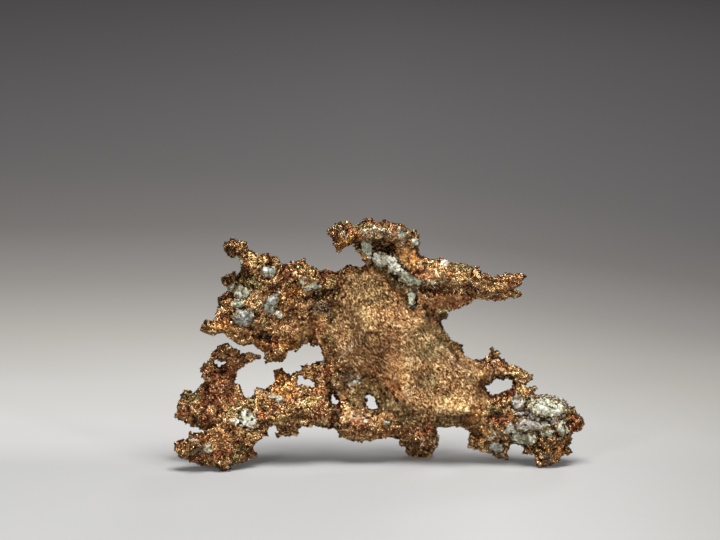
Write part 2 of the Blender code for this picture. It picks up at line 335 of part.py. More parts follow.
LUMPS = [
    Lump("matrix_right_upper", "pale_matrix",
         [(54.6, 23), (55.6, 26.2), (58.5, 27.4), (61.4, 26.4), (64.5, 26.4), (66.6, 24.4), (67.8, 22.4),
          (65.2, 20.9), (61.5, 20.4), (57.6, 20.4)], 6.5, 2.4, FRONT),
    Lump("matrix_right_middle", "grey_matrix",
         [(49.2, 16.8), (50.2, 19.2), (53, 19.4), (55.6, 18.4), (60, 17.6), (61.9, 16.8), (59, 15.2),
          (55, 15.2), (51, 15.4)], 5.5, 1.7, FRONT),
    Lump("matrix_right_lower", "pale_matrix",
         [(47.4, 12.2), (48.4, 13.7), (52, 13.4), (56, 13.2), (57.4, 11.6), (55.6, 10.2), (52, 10.4),
          (49, 11)], 5.0, 1.6, FRONT),
    Lump("matrix_right_inner", "grey_matrix",
         [(48.8, 23.6), (49, 26), (50.4, 27.6), (52.2, 26.8), (52.8, 24.2), (51.4, 22.2)], 4.5, 1.5,
         FRONT),
    Lump("matrix_right_edge", "pale_matrix",
         [(64.6, 14.8), (65, 17.8), (67, 18.6), (68.4, 17), (67.8, 14.4), (66, 13.4)], 4.5, 1.5, FRONT),
    Lump("matrix_right_toe", "pale_matrix",
         [(40, 9), (42.4, 10.6), (45, 9.2), (44.8, 7.6), (42, 7.2)], 3.6, 1.2, FRONT),
    Lump("matrix_top_vein", "pale_matrix",
         [(-3, 77.4), (-1.6, 79.2), (2.4, 78.4), (5.8, 76.8), (8.2, 73.8), (10.8, 71.8), (14.2, 70),
          (14.4, 67.8), (10.6, 68.4), (7, 70.6), (3.8, 73.6), (0.4, 75.4)], 4.6, 1.4, FRONT),
    Lump("matrix_top_drop", "pale_matrix",
         [(11.2, 60), (10.9, 63.4), (12, 65.2), (13.5, 64.2), (13.2, 60.8)], 3.4, 1.1, FRONT),
    Lump("matrix_left_top", "grey_matrix",
         [(-42.8, 72.2), (-41.4, 74.4), (-38.6, 74.2), (-37.4, 72.4), (-39.2, 70.8), (-41.4, 71)],
         4.0, 1.1, FRONT),
    Lump("matrix_left_long", "grey_matrix",
         [(-41.8, 57.6), (-40.8, 61.4), (-39, 64), (-36.6, 63.8), (-37.2, 60.6), (-39.2, 57.4)],
         4.0, 1.2, FRONT),
    Lump("matrix_left_low", "grey_matrix",
         [(-53, 55.8), (-50.6, 58.6), (-46.8, 58.4), (-45, 55.8), (-47.4, 53.6), (-51, 53.8)],
         4.4, 1.2, FRONT),
    Lump("matrix_finger_gap", "pale_matrix",
         [(-52.8, 65.6), (-51, 67.4), (-48.4, 67.2), (-47.4, 65.2), (-49, 63.4), (-51.6, 63.8)],
         3.4, 1.1, FRONT),
    Lump("matrix_arm", "pale_matrix",
         [(-50.6, 19.6), (-50, 22.6), (-48, 23), (-46.8, 20.8), (-44.4, 18.2), (-45, 16),
          (-49.6, 16.4)], 4.2, 1.2, FRONT),
    Lump("matrix_back_wing", "grey_matrix",
         [(-36, 56), (-34, 61), (-29, 61.6), (-26, 58), (-28.4, 54), (-33, 53.4)], 4.6, 1.4, BACK),
    Lump("matrix_back_plate", "pale_matrix",
         [(-2, 50), (0, 55.4), (5, 56), (8, 52), (6.4, 47), (1, 46)], 5.0, 1.6, BACK),
    Lump("matrix_back_right", "pale_matrix",
         [(53, 19), (55, 23.6), (60, 24.4), (63.4, 20.6), (60.6, 16.6), (56, 16)], 5.0, 1.6, BACK),
]

SWELL_SCALE, SWELL_HEIGHT = 8.0, 1.1  # soft swells
KNOB_SCALE, KNOB_HEIGHT = 4.6, 0.75  # blunt clusters of crystals
KNOB_FALL = 2.6  # how steeply a cluster falls from its middle
KNOB_BEND_SCALE, KNOB_BEND = 3.0, 1.0  # what makes the clusters irregular
CHIP_SCALE, CHIP_HEIGHT = 2.6, 0.55
ROUGH_SINK = 0.15  # the clusters stand this much below the lobes' own surface on the whole
CALM_HEIGHT = 0.25  # share of the roughness that the worn plate keeps
CALM_MARGIN = 3.0  # the worn plate's smoothness fades in over this distance
FACING_BACK = 0.2  # a normal's depth above which a place counts as the nugget's back
CALM_ZONE = [(-14, 71), (-4, 72), (5, 67), (14, 60), (22, 50), (28, 42), (38, 36), (37, 22), (26, 20),
             (12, 24), (4, 30), (-4, 36), (-16, 33), (-19, 44), (-20, 52), (-15, 62)]

MATERIALS = {
    "copper": ((0.42, 0.20, 0.09), 0.42, 1.0),
    "pale_matrix": ((0.62, 0.66, 0.56), 0.7, 0.0),
    "grey_matrix": ((0.46, 0.52, 0.52), 0.7, 0.0),
}


def clear_scene():
    for obj in list(bpy.data.objects):
        bpy.data.objects.remove(obj, do_unlink=True)


def collection(name, hidden=False):
    made = bpy.data.collections.new(name)
    made.hide_render = hidden
    bpy.context.scene.collection.children.link(made)
    return made


def material(slot):
    colour, roughness, metallic = MATERIALS[slot]
    made = bpy.data.materials.get(slot) or bpy.data.materials.new(slot)
    made.use_nodes = True
    shader = made.node_tree.nodes["Principled BSDF"]
    shader.inputs["Base Color"].default_value = (*colour, 1)
    shader.inputs["Roughness"].default_value = roughness
    shader.inputs["Metallic"].default_value = metallic
    return made


def new_object(name, mesh, into):
    obj = bpy.data.objects.new(name, mesh)
    into.objects.link(obj)
    return obj


def evaluated_mesh(obj):
    """The object's mesh with its modifiers and its placing applied; the object itself goes."""
    bpy.context.view_layer.update()
    graph = bpy.context.evaluated_depsgraph_get()
    mesh = bpy.data.meshes.new_from_object(obj.evaluated_get(graph))
    mesh.transform(obj.matrix_world)
    bpy.data.objects.remove(obj, do_unlink=True)
    return mesh


def points_of(mesh):
    points = np.empty(len(mesh.vertices) * 3, np.float32)
    mesh.vertices.foreach_get("co", points)
    return points.reshape(-1, 3).astype(float)


def put_points(mesh, points):
    mesh.vertices.foreach_set("co", points.astype(np.float32).ravel())
    mesh.update()


def remesh(mesh, voxel, into):
    obj = new_object("remeshing", mesh, into)
    modifier = obj.modifiers.new("voxels", "REMESH")
    modifier.mode = "VOXEL"
    modifier.voxel_size = voxel * MM
    return evaluated_mesh(obj)


def distance_to_lines(points, loops):
    """The distance from each (u, v) point to the nearest of these closed loops."""
    nearest = np.full(len(points), np.inf)
    for loop in loops:
        for start, end in zip(loop, loop[1:] + loop[:1]):
            nearest = np.minimum(nearest, distance_to_stretch(points, start, end))
    return nearest


def distance_to_stretch(points, start, end):
    start, along = np.array(start, float), np.subtract(end, start)
    share = np.clip((points - start) @ along / max(along @ along, 1e-9), 0, 1)
    return np.linalg.norm(points - start - share[:, None] * along, axis=1)


def inside(points, loop):
    """Which (u, v) points the closed loop holds, by counting crossings."""
    held = np.zeros(len(points), bool)
    u, v = points.T
    for (u0, v0), (u1, v1) in zip(loop, loop[1:] + loop[:1]):
        spans = (v0 > v) != (v1 > v)
        held ^= spans & (u < (u1 - u0) * (v - v0) / (v1 - v0 if v1 != v0 else 1) + u0)
    return held


def blend_pins(points, pins):
    """Depth and thickness at each (u, v) point: a smooth average that favours the nearest pins."""
    away = np.array([[(pin.u, pin.v)] for pin in pins]) - points
    weight = 1 / ((away ** 2).sum(axis=2) + PIN_REACH ** 2) ** 2
    weight /= weight.sum(axis=0)
    depth = np.array([pin.depth for pin in pins]) @ weight - FORWARD * points[:, 1]
    return depth, np.array([pin.thick for pin in pins]) @ weight


def relief(points, folds, dents):
    """How far the folds and dents raise one side at each (u, v) point."""
    height = np.zeros(len(points))
    for fold in folds:
        away = np.full(len(points), np.inf)
        for start, end in zip(fold.line, fold.line[1:]):
            away = np.minimum(away, distance_to_stretch(points, start, end))
        height += fold.height * np.exp(-((away / fold.width) ** 2))
    for dent in dents:
        away = np.linalg.norm(points - (dent.u, dent.v), axis=1)
        height -= dent.depth * np.exp(-((away / (dent.radius * DENT_FILL)) ** 4))
    return height


def slab(name, outline, holes, half, into):
    """A flat slab of this outline, standing in the face's plane."""
    curve = bpy.data.curves.new(name, "CURVE")
    curve.dimensions = "2D"
    curve.fill_mode = "BOTH"
    curve.extrude = half * MM
    for loop in [outline, *holes]:
        spline = curve.splines.new("POLY")
        spline.points.add(len(loop) - 1)
        spline.use_cyclic_u = True
        for point, (u, v) in zip(spline.points, loop):
            point.co = (u * MM, v * MM, 0, 1)
    obj = new_object(name, curve, into)
    obj.rotation_euler = (math.pi / 2, 0, 0)
    mesh = evaluated_mesh(obj)
    welded = bmesh.new()
    welded.from_mesh(mesh)
    bmesh.ops.remove_doubles(welded, verts=welded.verts, dist=1e-6)
    bmesh.ops.recalc_face_normals(welded, faces=welded.faces)
    welded.to_mesh(mesh)
    welded.free()
    return mesh


def make_lobe(lobe, into):
    """A slab of the lobe's outline, thinned towards its edge and bent to its pins' depths."""
    mesh = remesh(slab(lobe.name, lobe.outline, lobe.holes, SLAB_HALF, into), SLAB_VOXEL, into)
    points = points_of(mesh) / MM
    face = points[:, [0, 2]]
    side = np.clip(points[:, 1] / SLAB_HALF, -1, 1)
    in_from_edge = distance_to_lines(face, [lobe.outline, *lobe.holes])
    depth, thick = blend_pins(face, lobe.pins)
    full = 1 - np.exp(-in_from_edge / lobe.shoulder)
    half = (lobe.edge + (thick - lobe.edge) * full) / 2
    inner = np.minimum(in_from_edge / RELIEF_MARGIN, 1)
    front = np.clip(-side, 0, 1) * inner * relief(face, FRONT_FOLDS, FRONT_DENTS)
    back = np.clip(side, 0, 1) * inner * relief(face, BACK_FOLDS, BACK_DENTS)
    points[:, 1] = depth + side * half - front + back
    put_points(mesh, points * MM)
    return mesh


def make_spine(spine):
    root, tip = (Vector((u, depth - FORWARD * v, v)) * MM for u, v, depth in (spine.root, spine.tip))
    along = tip - root
    cone = bmesh.new()
    bmesh.ops.create_cone(cone, cap_ends=True, segments=SPINE_SIDES, radius1=spine.radius * MM,
                          radius2=SPINE_TIP * spine.radius * MM, depth=along.length)
    turn = along.to_track_quat("Z", "Y").to_matrix().to_4x4()
    bmesh.ops.transform(cone, matrix=Matrix.Translation((root + tip) / 2) @ turn, verts=cone.verts)
    mesh = bpy.data.meshes.new("spine")
    cone.to_mesh(mesh)
    cone.free()
    return mesh


def join(meshes):
    joined = bmesh.new()
    for mesh in meshes:
        joined.from_mesh(mesh)
        bpy.data.meshes.remove(mesh)
    mesh = bpy.data.meshes.new("joined")
    joined.to_mesh(mesh)
    joined.free()
    return mesh


def knobs(place):
    """Blunt-faced clusters of crystals: 1 at one's middle, falling to about -1 where they meet."""
    bend_at = place / KNOB_BEND_SCALE
    bent = place + KNOB_BEND * Vector((noise.noise(bend_at), 0, noise.noise(-bend_at)))
    distances, _ = noise.voronoi(bent / KNOB_SCALE, distance_metric="CHEBYCHEV")
    return 1 - KNOB_FALL * distances[0]


def roughen(mesh):
    """Swells, knobs and chips all over, much fainter on the worn front of the plate."""
    points = points_of(mesh) / MM
    face = points[:, [0, 2]]
    normals = np.array([vertex.normal for vertex in mesh.vertices])
    margin = distance_to_lines(face, [CALM_ZONE])
    worn = inside(face, CALM_ZONE) & (normals[:, 1] < FACING_BACK)
    calm = np.where(worn, np.minimum(margin / CALM_MARGIN, 1), 0)
    strength = 1 - calm * (1 - CALM_HEIGHT)
    for index, point in enumerate(points):
        place = Vector(point)
        raised = (SWELL_HEIGHT * noise.noise(place / SWELL_SCALE) + KNOB_HEIGHT * knobs(place)
                  + CHIP_HEIGHT * noise.noise(place / CHIP_SCALE) - ROUGH_SINK)
        points[index] += normals[index] * raised * strength[index]
    put_points(mesh, points * MM)


def keep_largest(mesh):
    """Drops crumbs that came loose, so that one body is left."""
    body = bmesh.new()
    body.from_mesh(mesh)
    unseen, pieces = set(body.verts), []
    while unseen:
        reached, edge = set(), [next(iter(unseen))]
        while edge:
            vertex = edge.pop()
            if vertex in reached:
                continue
            reached.add(vertex)
            edge.extend(e.other_vert(vertex) for e in vertex.link_edges)
        unseen -= reached
        pieces.append(reached)
    pieces.sort(key=len)
    bmesh.ops.delete(body, geom=[v for piece in pieces[:-1] for v in piece], context="VERTS")
    body.to_mesh(mesh)
    body.free()


def decimate(mesh, triangles, into):
    obj = new_object("thinning", mesh, into)
    modifier = obj.modifiers.new("fewer", "DECIMATE")
    modifier.ratio = min(1.0, triangles / (2 * len(mesh.polygons)))
    modifier.use_collapse_triangulate = True
    return evaluated_mesh(obj)


def stand(mesh):
    """Turns a mesh from the face's frame to the standing nugget's, with the floor at z = 0."""
    floor = Matrix.Translation((0, 0, -FLOOR_V * math.cos(LEAN) * MM))
    mesh.transform(floor @ Matrix.Rotation(-LEAN, 4, "X"))


def make_rough_copper(into):
    """The copper's mesh in the face's frame, at full detail, with no pockets."""
    pieces = [make_lobe(lobe, into) for lobe in LOBES] + [make_spine(spine) for spine in SPINES]
    mesh = remesh(join(pieces), FUSE_VOXEL, into)
    roughen(mesh)
    keep_largest(mesh)
    return mesh


def carve(mesh, cutter_mesh, into):
    obj = new_object("carving", mesh, into)
    cutter = new_object("cutter", cutter_mesh, into)
    as_helper(cutter)
    modifier = obj.modifiers.new("cut", "BOOLEAN")
    modifier.operation = "DIFFERENCE"
    modifier.object = cutter
    carved = evaluated_mesh(obj)
    bpy.data.objects.remove(cutter, do_unlink=True)
    return carved


def surface_of(mesh):
    solid = bmesh.new()
    solid.from_mesh(mesh)
    tree = BVHTree.FromBMesh(solid)
    solid.free()
    return tree


def seat(lump, surface):
    """The plane that best fits the copper under a lump, as depth = a * u + b * v + c."""
    middle = np.mean(lump.outline, axis=0)
    places = [middle] + [middle + SEAT_SHARE * (np.array(corner) - middle) for corner in lump.outline]
    rows, depths = [], []
    for u, v in places:
        hit = surface.ray_cast(Vector((u, lump.side * BEYOND, v)) * MM, Vector((0, -lump.side, 0)))[0]
        if hit:
            rows.append((u, v, 1))
            depths.append(hit.y / MM)
    return np.linalg.lstsq(np.array(rows), np.array(depths), rcond=None)[0]


def make_lump(lump, plane, into, grow=0, reach=0):
    """A domed, uneven block of the lump's outline, sunk in the copper; grown, it is the lump's pocket."""
    mesh = remesh(slab(lump.name, lump.outline, [], SLAB_HALF, into), LUMP_VOXEL, into)
    points = points_of(mesh) / MM
    face = points[:, [0, 2]]
    across = points[:, 1] / SLAB_HALF
    dome = 1 - np.exp(-distance_to_lines(face, [lump.outline]) / (LUMP_SHOULDER * lump.thick))
    middle = face @ plane[:2] + plane[2] + lump.side * (lump.proud - lump.thick / 2)
    points[:, 1] = middle + across * lump.thick / 2 * (LUMP_EDGE + (1 - LUMP_EDGE) * dome)
    put_points(mesh, points * MM)
    normals = np.array([vertex.normal for vertex in mesh.vertices])
    for index, point in enumerate(points):
        points[index] += normals[index] * (LUMP_HEIGHT * noise.noise(Vector(point) / LUMP_SCALE) + grow)
    points[:, 1] += lump.side * reach * (across * lump.side > 0)
    put_points(mesh, points * MM)
    return decimate(mesh, LUMP_TRIANGLES, into)


def cut(obj, cutter):
    modifier = obj.modifiers.new("cut_" + cutter.name, "BOOLEAN")
    modifier.operation = "DIFFERENCE"
    modifier.object = cutter


def make_floor_cutter(into):
    """A block whose top is the floor: it takes the tips off the feet, so that each has a flat to stand on."""
    mesh = bpy.data.meshes.new("floor_cutter")
    block = bmesh.new()
    bmesh.ops.create_cube(block, size=1)
    bmesh.ops.scale(block, vec=Vector(FLOOR_BLOCK) * MM, verts=block.verts)
    bmesh.ops.translate(block, vec=(0, 0, -FLOOR_BLOCK[2] / 2 * MM), verts=block.verts)
    block.to_mesh(mesh)
    block.free()
    return new_object("floor_cutter", mesh, into)


def as_helper(obj):
    obj.hide_render = True
    obj.display_type = "WIRE"


def centre(objects):
    """Moves the nugget so that its box is centred on the origin in X and Y."""
    bpy.context.view_layer.update()
    graph = bpy.context.evaluated_depsgraph_get()
    corners = [obj.evaluated_get(graph).matrix_world @ Vector(corner)
               for obj in objects if not obj.hide_render for corner in obj.evaluated_get(graph).bound_box]
    shift = [-(min(c[axis] for c in corners) + max(c[axis] for c in corners)) / 2 for axis in (0, 1)]
    for obj in objects:
        obj.location += Vector((*shift, 0))


def main():
    clear_scene()
    nugget, cutters = collection("copper_nugget"), collection("cutters", hidden=True)
    rough = make_rough_copper(nugget)
    surface = surface_of(rough)
    lumps, carved = [], rough
    for lump in LUMPS:
        plane = seat(lump, surface)
        carved = carve(carved, make_lump(lump, plane, nugget, POCKET_GAP, POCKET_REACH), nugget)
        mesh = make_lump(lump, plane, nugget)
        stand(mesh)
        lumps.append(new_object(lump.name, mesh, nugget))
        lumps[-1].data.materials.append(material(lump.slot))
    carved = remesh(carved, CARVED_VOXEL, nugget)
    keep_largest(carved)
    mesh = decimate(carved, COPPER_TRIANGLES, nugget)
    stand(mesh)
    copper = new_object("copper_mass", mesh, nugget)
    copper.data.materials.append(material("copper"))
    floor = make_floor_cutter(cutters)
    as_helper(floor)
    cut(copper, floor)
    centre([copper, *lumps, floor])


main()
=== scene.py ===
"""The looks of the native copper nugget: its hackly metal, the crystal grains that cover it, the pale
matrix minerals in its folds, and the floor, lights and camera that it is shown with.

Places on the nugget are given on its broad face, in millimetres, as in the CAD: u to the right, v up,
and d for depth, away from the viewer. The face leans back by LEAN. `to_face` turns points into these.
"""

import math

import bpy
import numpy as np
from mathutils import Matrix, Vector, noise


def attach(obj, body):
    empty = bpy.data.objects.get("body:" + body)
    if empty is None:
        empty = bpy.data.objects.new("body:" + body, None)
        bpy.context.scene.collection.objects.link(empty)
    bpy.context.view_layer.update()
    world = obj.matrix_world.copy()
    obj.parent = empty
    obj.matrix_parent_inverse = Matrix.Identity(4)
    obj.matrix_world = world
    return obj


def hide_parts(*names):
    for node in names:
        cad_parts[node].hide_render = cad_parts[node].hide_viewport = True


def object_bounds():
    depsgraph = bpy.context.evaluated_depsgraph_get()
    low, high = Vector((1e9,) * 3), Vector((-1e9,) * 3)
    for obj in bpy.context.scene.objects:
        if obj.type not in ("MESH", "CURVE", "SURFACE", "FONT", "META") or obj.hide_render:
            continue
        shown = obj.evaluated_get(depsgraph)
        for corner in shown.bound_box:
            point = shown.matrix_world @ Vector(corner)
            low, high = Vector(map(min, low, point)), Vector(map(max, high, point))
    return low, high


MM = 0.001
LEAN = math.radians(11)
FACE_ORIGIN = np.array([0.049, 2.778, -2.847])  # mm: where u = v = d = 0 lies in the frame
SEED = 7

# Sizes and heights are in mm unless their names say otherwise.
SKIN_VOXEL, LUMP_VOXEL = 0.45, 0.38
SKIN_SMOOTHING, LUMP_SMOOTHING = 4, 3
SKIN_FACES = 190000
SKIN_INSET = 0.25  # the skin lies this far below the CAD's surface, and its nodules bring it back
RIM_INSET = 0.3  # more at the rim, which the teeth stand out from
SPARE = {"x": 3.5, "y": 0.9, "z": 2.2}  # how far the looks may stand proud of the CAD's box

# The metal's relief: how wide its forms are, and how high they stand on hackly and on calm metal.
FOLD_SIZE, NODULE_SIZE, SMALL_NODULE_SIZE = 3.0, 2.6, 1.5
CHIP_SIZE, PEBBLE_SIZE, CRINKLE_SIZE = 1.3, 0.8, 1.2
CREST_HEIGHT, CHIP_HEIGHT, PEBBLE_HEIGHT = 0.85, 0.22, 0.12
CALM_CREST_HEIGHT, CALM_CHIP_HEIGHT, CRINKLE_HEIGHT = 0.06, 0.06, 0.16

FOLD_STRETCH, CRINKLE_STRETCH = 3, 3.5  # how much longer than wide these run
FOLD_REACH = 3.0  # how quickly one way of running gives way to the next
CRINKLE_BEND_SIZE, CRINKLE_TURN, CRINKLE_SHIFT = 9.0, math.degrees(0.5), 2.5

# Borders are ragged: the size of the noise that moves them, and about how far it does at most.
FINISH_RAG_SIZE, FINISH_RAG = 2.2, 1.5
PLATE_RAG_SIZE, PLATE_RAG = 4.5, 3.5
PLATE_SOFT = 2.6  # half the width of the plate's border
TONE_SIZE = 2.6

LUMP_FILL, LUMP_SINK = 0.65, 0.7  # how far a lump grows into its pocket, and how far its face sinks
LUMP_RELIEF = 0.4
LUMP_SWELL, VEIN_SWELL = 0.8, 1.28  # how uneven a lump's outline is
VEIN_BEND, VEIN_BEND_SIZE = 0.9, 4.5

# How many crystals there are, and how much denser the teeth are round a hole.
HOLE_TEETH = 5
GRAINS, TEETH, FLECKS = 42000, 4400, 5000
SKIN_CRUST, LUMP_CRUST = 3000, 1800  # mineral crystals on the copper, and on the lumps

# ---------------- what lies where on the nugget

# The side that a mark is on, as the sign of the y that its normals have. All sizes here are in mm.
FRONT, BACK = -1, 1

PLATE_OUTLINE = [
    (-12, 72), (-3, 73.5), (3, 73), (9, 67), (14, 61.5), (20, 55), (22, 51), (25, 46), (30, 42),
    (38, 38), (40, 33), (38, 27), (36, 20), (28, 18.5), (20, 19.5), (13, 21), (8, 26), (3, 33),
    (-5, 37), (-12, 38), (-16, 42), (-17, 50), (-16, 58), (-14, 66),
]

# The way that the metal's folds run at some places: the place and the turn in degrees.
FOLD_RUNS = [
    (-58, 72, -30), (-44, 66, -28), (-58, 54, -12), (-38, 50, -20), (-28, 62, 25), (-22, 50, 80),
    (-60, 38, 20), (-62, 26, 85), (-50, 22, 35), (-36, 24, 10), (-24, 27, 20), (-66, 8, 15), (-50, 8, 10),
    (-14, 32, -60), (-6, 27, -35), (4, 21, -30), (17, 15, 85), (26, 20, 0), (42, 20, -40), (40, 10, -30),
    (44, 38, -25), (50, 31, -10), (53, 20, -20), (63, 22, -35), (63, 8, 60), (-10, 87, -10), (2, 86, -12),
    (10, 84, -45), (12, 76, -50), (24, 72, -14), (34, 69, -8), (22, 62, -4),
]
PLATE_GRAIN = -58  # degrees, the way that the plate's fine lines run
# Ovals that are calm too: middle, half length, half width, in mm, and how calm they are.
CALM_OVALS = [
    (11, 77, 4.5, 4.5, 0.6), (20, 71, 6, 2.2, 0.5), (24, 61.5, 7, 2.5, 0.6), (44, 36, 4, 2, 0.5),
    (-6, 30, 9, 6, 0.75), (4, 24, 9, 5, 0.7), (-7, 21, 6, 4, 0.45), (-24, 50, 6, 6, 0.4),
]

# Holes right through with ragged rims: middle, and how far the rim lies from it at most.
HOLES = [(44, 31, 7.5), (-16.5, 26, 4), (-2.6, 25.6, 5)]

# Ovals that are brighter or, where the last number is negative, darker: middle, half sizes, change.
TONE_OVALS = [
    (28, 24, 12, 6, 0.1), (7, 34, 6, 11, 0.7), (22, 47, 8, 6, 0.4), (10, 48, 9, 9, 0.2),
    (-10, 48, 7, 12, 0.2), (0, 66, 12, 7, -0.3), (-44, 66, 12, 12, -0.1), (-56, 73, 8, 8, -0.4),
    (-55, 30, 18, 11, 0.15), (-62, 9, 16, 8, -0.12), (-30, 26, 12, 6, 0.2), (-35, 31, 5, 4, 0.25),
    (-4, 25, 12, 8, 0.4), (17, 14, 7, 5, 0.35), (24, 71, 14, 6, 0.5), (24, 62, 11, 4, 0.45),
    (-3, 86, 14, 4, 0.3), (2, 80, 7, 4, 0.1), (64, 9, 10, 7, -0.45), (-34, 60, 12, 16, 0.15),
    (46, 36, 10, 6, 0.6), (40, 8, 8, 6, 0.2),
]

# Ovals of a finish: its kind, its middle, its two half sizes and, if it is turned, the degrees.
FRONT_PATCHES = [
    # the plate
    ("olive", 19, 47, 8, 6, -40), ("olive", 18, 33, 4, 3), ("olive", -4, 66, 9, 5, -30),
    ("red", 5, 38, 5, 2.6, -60), ("grey", -12, 34, 3.5, 3), ("grey", -21, 59.5, 4, 2.5),
    # the gold patch at (27, 24.5) is a painted highlight on the bulge above the plate's lower edge
    ("gold", 27, 24.5, 6, 3.6), ("orange", 35, 20.5, 2.4, 2.2), ("orange", 6.5, 35, 3.6, 9),
    ("pink", -11, 45, 4.5, 1.6, 52), ("gold", -6, 57, 5, 2.4, -50), ("red", 4, 46, 3.4, 5),
    ("olive", 25, 18, 6, 1.6), ("olive", -18, 48, 2.2, 2.2), ("red", -22, 51, 1.3, 3.4, -15),
    # the upper-left wing
    ("blue", -40.5, 72.8, 2.7, 1.9), ("mint", -52, 76.5, 2.4, 1.2), ("mint", -52, 66.3, 3.2, 1.9, -20),
    ("mint", -51, 61, 2.4, 1.8), ("blue", -39, 61.5, 4.2, 1.2, 55), ("blue", -49, 56, 4.2, 2.9),
    ("white", -36.5, 57.2, 1.5, 1.7), ("mint", -26, 66.5, 1.1, 1), ("mint", -28, 69, 1.2, 0.9),
    # the dark patch at (-40, 48) lies in the groove of a crease: painted shade
    ("mint", -23, 67, 1.7, 1.5), ("dark", -40, 48, 3.2, 1.4, -38), ("red", -40, 48, 4.2, 2.4, -38),
    ("red", -18, 72.5, 4, 2), ("olive", -47, 68, 5, 3), ("orange", -57, 53, 3.6, 2.2),
    ("orange", -36, 46.5, 9, 1.8), ("gold", -17.5, 67.5, 3, 2.8), ("gold", -27, 73, 4, 1.6),
    ("orange", -33, 64, 4.5, 2.2, 35), ("gold", -44, 76.5, 5, 2, -20),
    # the lower-left arm and its foot
    ("white", -48.7, 21.7, 1.7, 1.5), ("white", -52.6, 18.2, 2, 1.1), ("white", -47.6, 17, 3.2, 1.7),
    ("white", -37.5, 26.6, 2.6, 0.8), ("grey", -36, 25, 4.4, 1), ("gold", -36, 19.5, 4.4, 1.7, 12),
    ("orange", -34, 28.5, 4.4, 2), ("orange", -36, 33.5, 3, 4), ("gold", -25, 26, 3, 2.4),
    ("red", -56, 7.5, 2.2, 1.3), ("white", -67, 11.2, 1.2, 0.7), ("pale", -61, 8.5, 1.4, 2.2),
    ("grey", -65, 8, 2.4, 1.8), ("mint", -62, 8.5, 1.4, 1.3), ("olive", -50, 8, 3, 2.2),
    ("red", -71.5, 21.5, 3, 1.6), ("red", -55, 36, 6, 5), ("red", -58, 28, 5, 6),
    ("olive", -68, 27, 3, 2.4), ("red", -21, 29, 3.4, 1.7),
    # the skirt
    ("olive", -8, 26, 4, 3), ("olive", -3, 28.5, 8, 2.6, -35), ("olive", 7, 22.5, 7, 2.8, -25),
    ("gold", -14, 32, 4, 1, -55), ("white", 2.5, 17.3, 1, 0.9), ("white", -4.5, 18.3, 0.9, 0.8),
    ("pink", -8, 20, 2.6, 2), ("red", 17, 15, 3.4, 3.4),
    # the top bar and the vein
    ("red", -12, 88, 2.6, 1.6), ("mint", 8.2, 86.2, 2, 1.4, -20), ("white", 13.2, 83.8, 1.2, 1.8),
    ("olive", 12, 87.5, 2.6, 0.9), ("mint", -1.5, 79.6, 1, 1.2), ("white", 4.6, 77.2, 1.6, 1.3),
    ("white", 8.8, 74.2, 1.3, 0.7, -30), ("mint", 14.4, 68.8, 1.4, 0.7), ("mint", 11, 68.8, 1.2, 0.9),
    # the dark patch at (1, 80.5) is a painted shadow under the overhanging top bar
    ("orange", -34, 31, 4, 3.4), ("dark", 1, 80.5, 4.2, 3.6), ("grey", -4.5, 83, 2, 2.6),
    ("pale", -1, 86.8, 6, 1.8, -8), ("olive", -5, 88.6, 5, 1.4), ("pale", 8, 84.5, 3, 1.4, -40),
    ("orange", -12.5, 84, 3.4, 3), ("pale", -13, 86, 1.6, 1.4), ("mint", -4.4, 81.4, 1.5, 2.6, 20),
    # the upper-right wing
    # the pale patch at (20, 68.6) and the gold one at (30, 69.8) are painted highlights along the wing's
    # crest
    ("orange", 11, 77, 4, 3.8), ("red", 15, 72, 4.6, 1.7), ("pale", 20, 68.6, 5, 0.9),
    ("gold", 30, 69.8, 4.2, 1.4, 8), ("red", 24, 62, 9, 2.8), ("white", 24, 76, 1.7, 0.8),
    # the dark patch at (20, 56.5) is painted shade where the plate meets the upper-right wing
    ("dark", 20, 56.5, 5, 1.4), ("olive", 30, 74, 5, 2, -12),
    # the right mass
    ("mint", 61.5, 23.5, 7, 4.4, -10), ("white", 60, 22.6, 1.6, 0.8, -15),
    ("white", 64.5, 22, 1.6, 1, 30), ("lilac", 51.5, 21.5, 3, 1.6, -20), ("mint", 57.5, 16, 2.6, 1.6),
    ("mint", 49.5, 14.5, 2.6, 1.8), ("mint", 61.5, 14, 1.8, 1.2, 20), ("mint", 66.5, 12.4, 1.4, 1),
    ("olive", 58.5, 20, 3.4, 0.8, 12), ("lilac", 50.8, 25.4, 2, 2.7), ("lilac", 54, 18.4, 4.6, 2.6, -15),
    ("mint", 52.8, 13, 4.8, 2.7, -15), ("white", 47.4, 15.5, 1.7, 1.5), ("lilac", 62.4, 18.4, 2.6, 1.5),
    ("mint", 66.3, 15.6, 1.8, 1.8), ("grey", 61, 4.5, 2.2, 1.3), ("white", 41.2, 17, 0.9, 0.8),
    ("mint", 40.5, 12.2, 1.1, 0.9), ("white", 43, 13.5, 0.9, 0.8), ("blue", 42.5, 8, 3.2, 1.3, -20),
    ("red", 72, 17.5, 2.6, 3), ("red", 44, 19, 4.4, 2.2), ("gold", 53, 29.8, 3.4, 1.4),
    ("red", 42.5, 38, 4.8, 2.2), ("olive", 43, 22.5, 4, 2), ("orange", 66, 6.5, 3, 2.4),
]
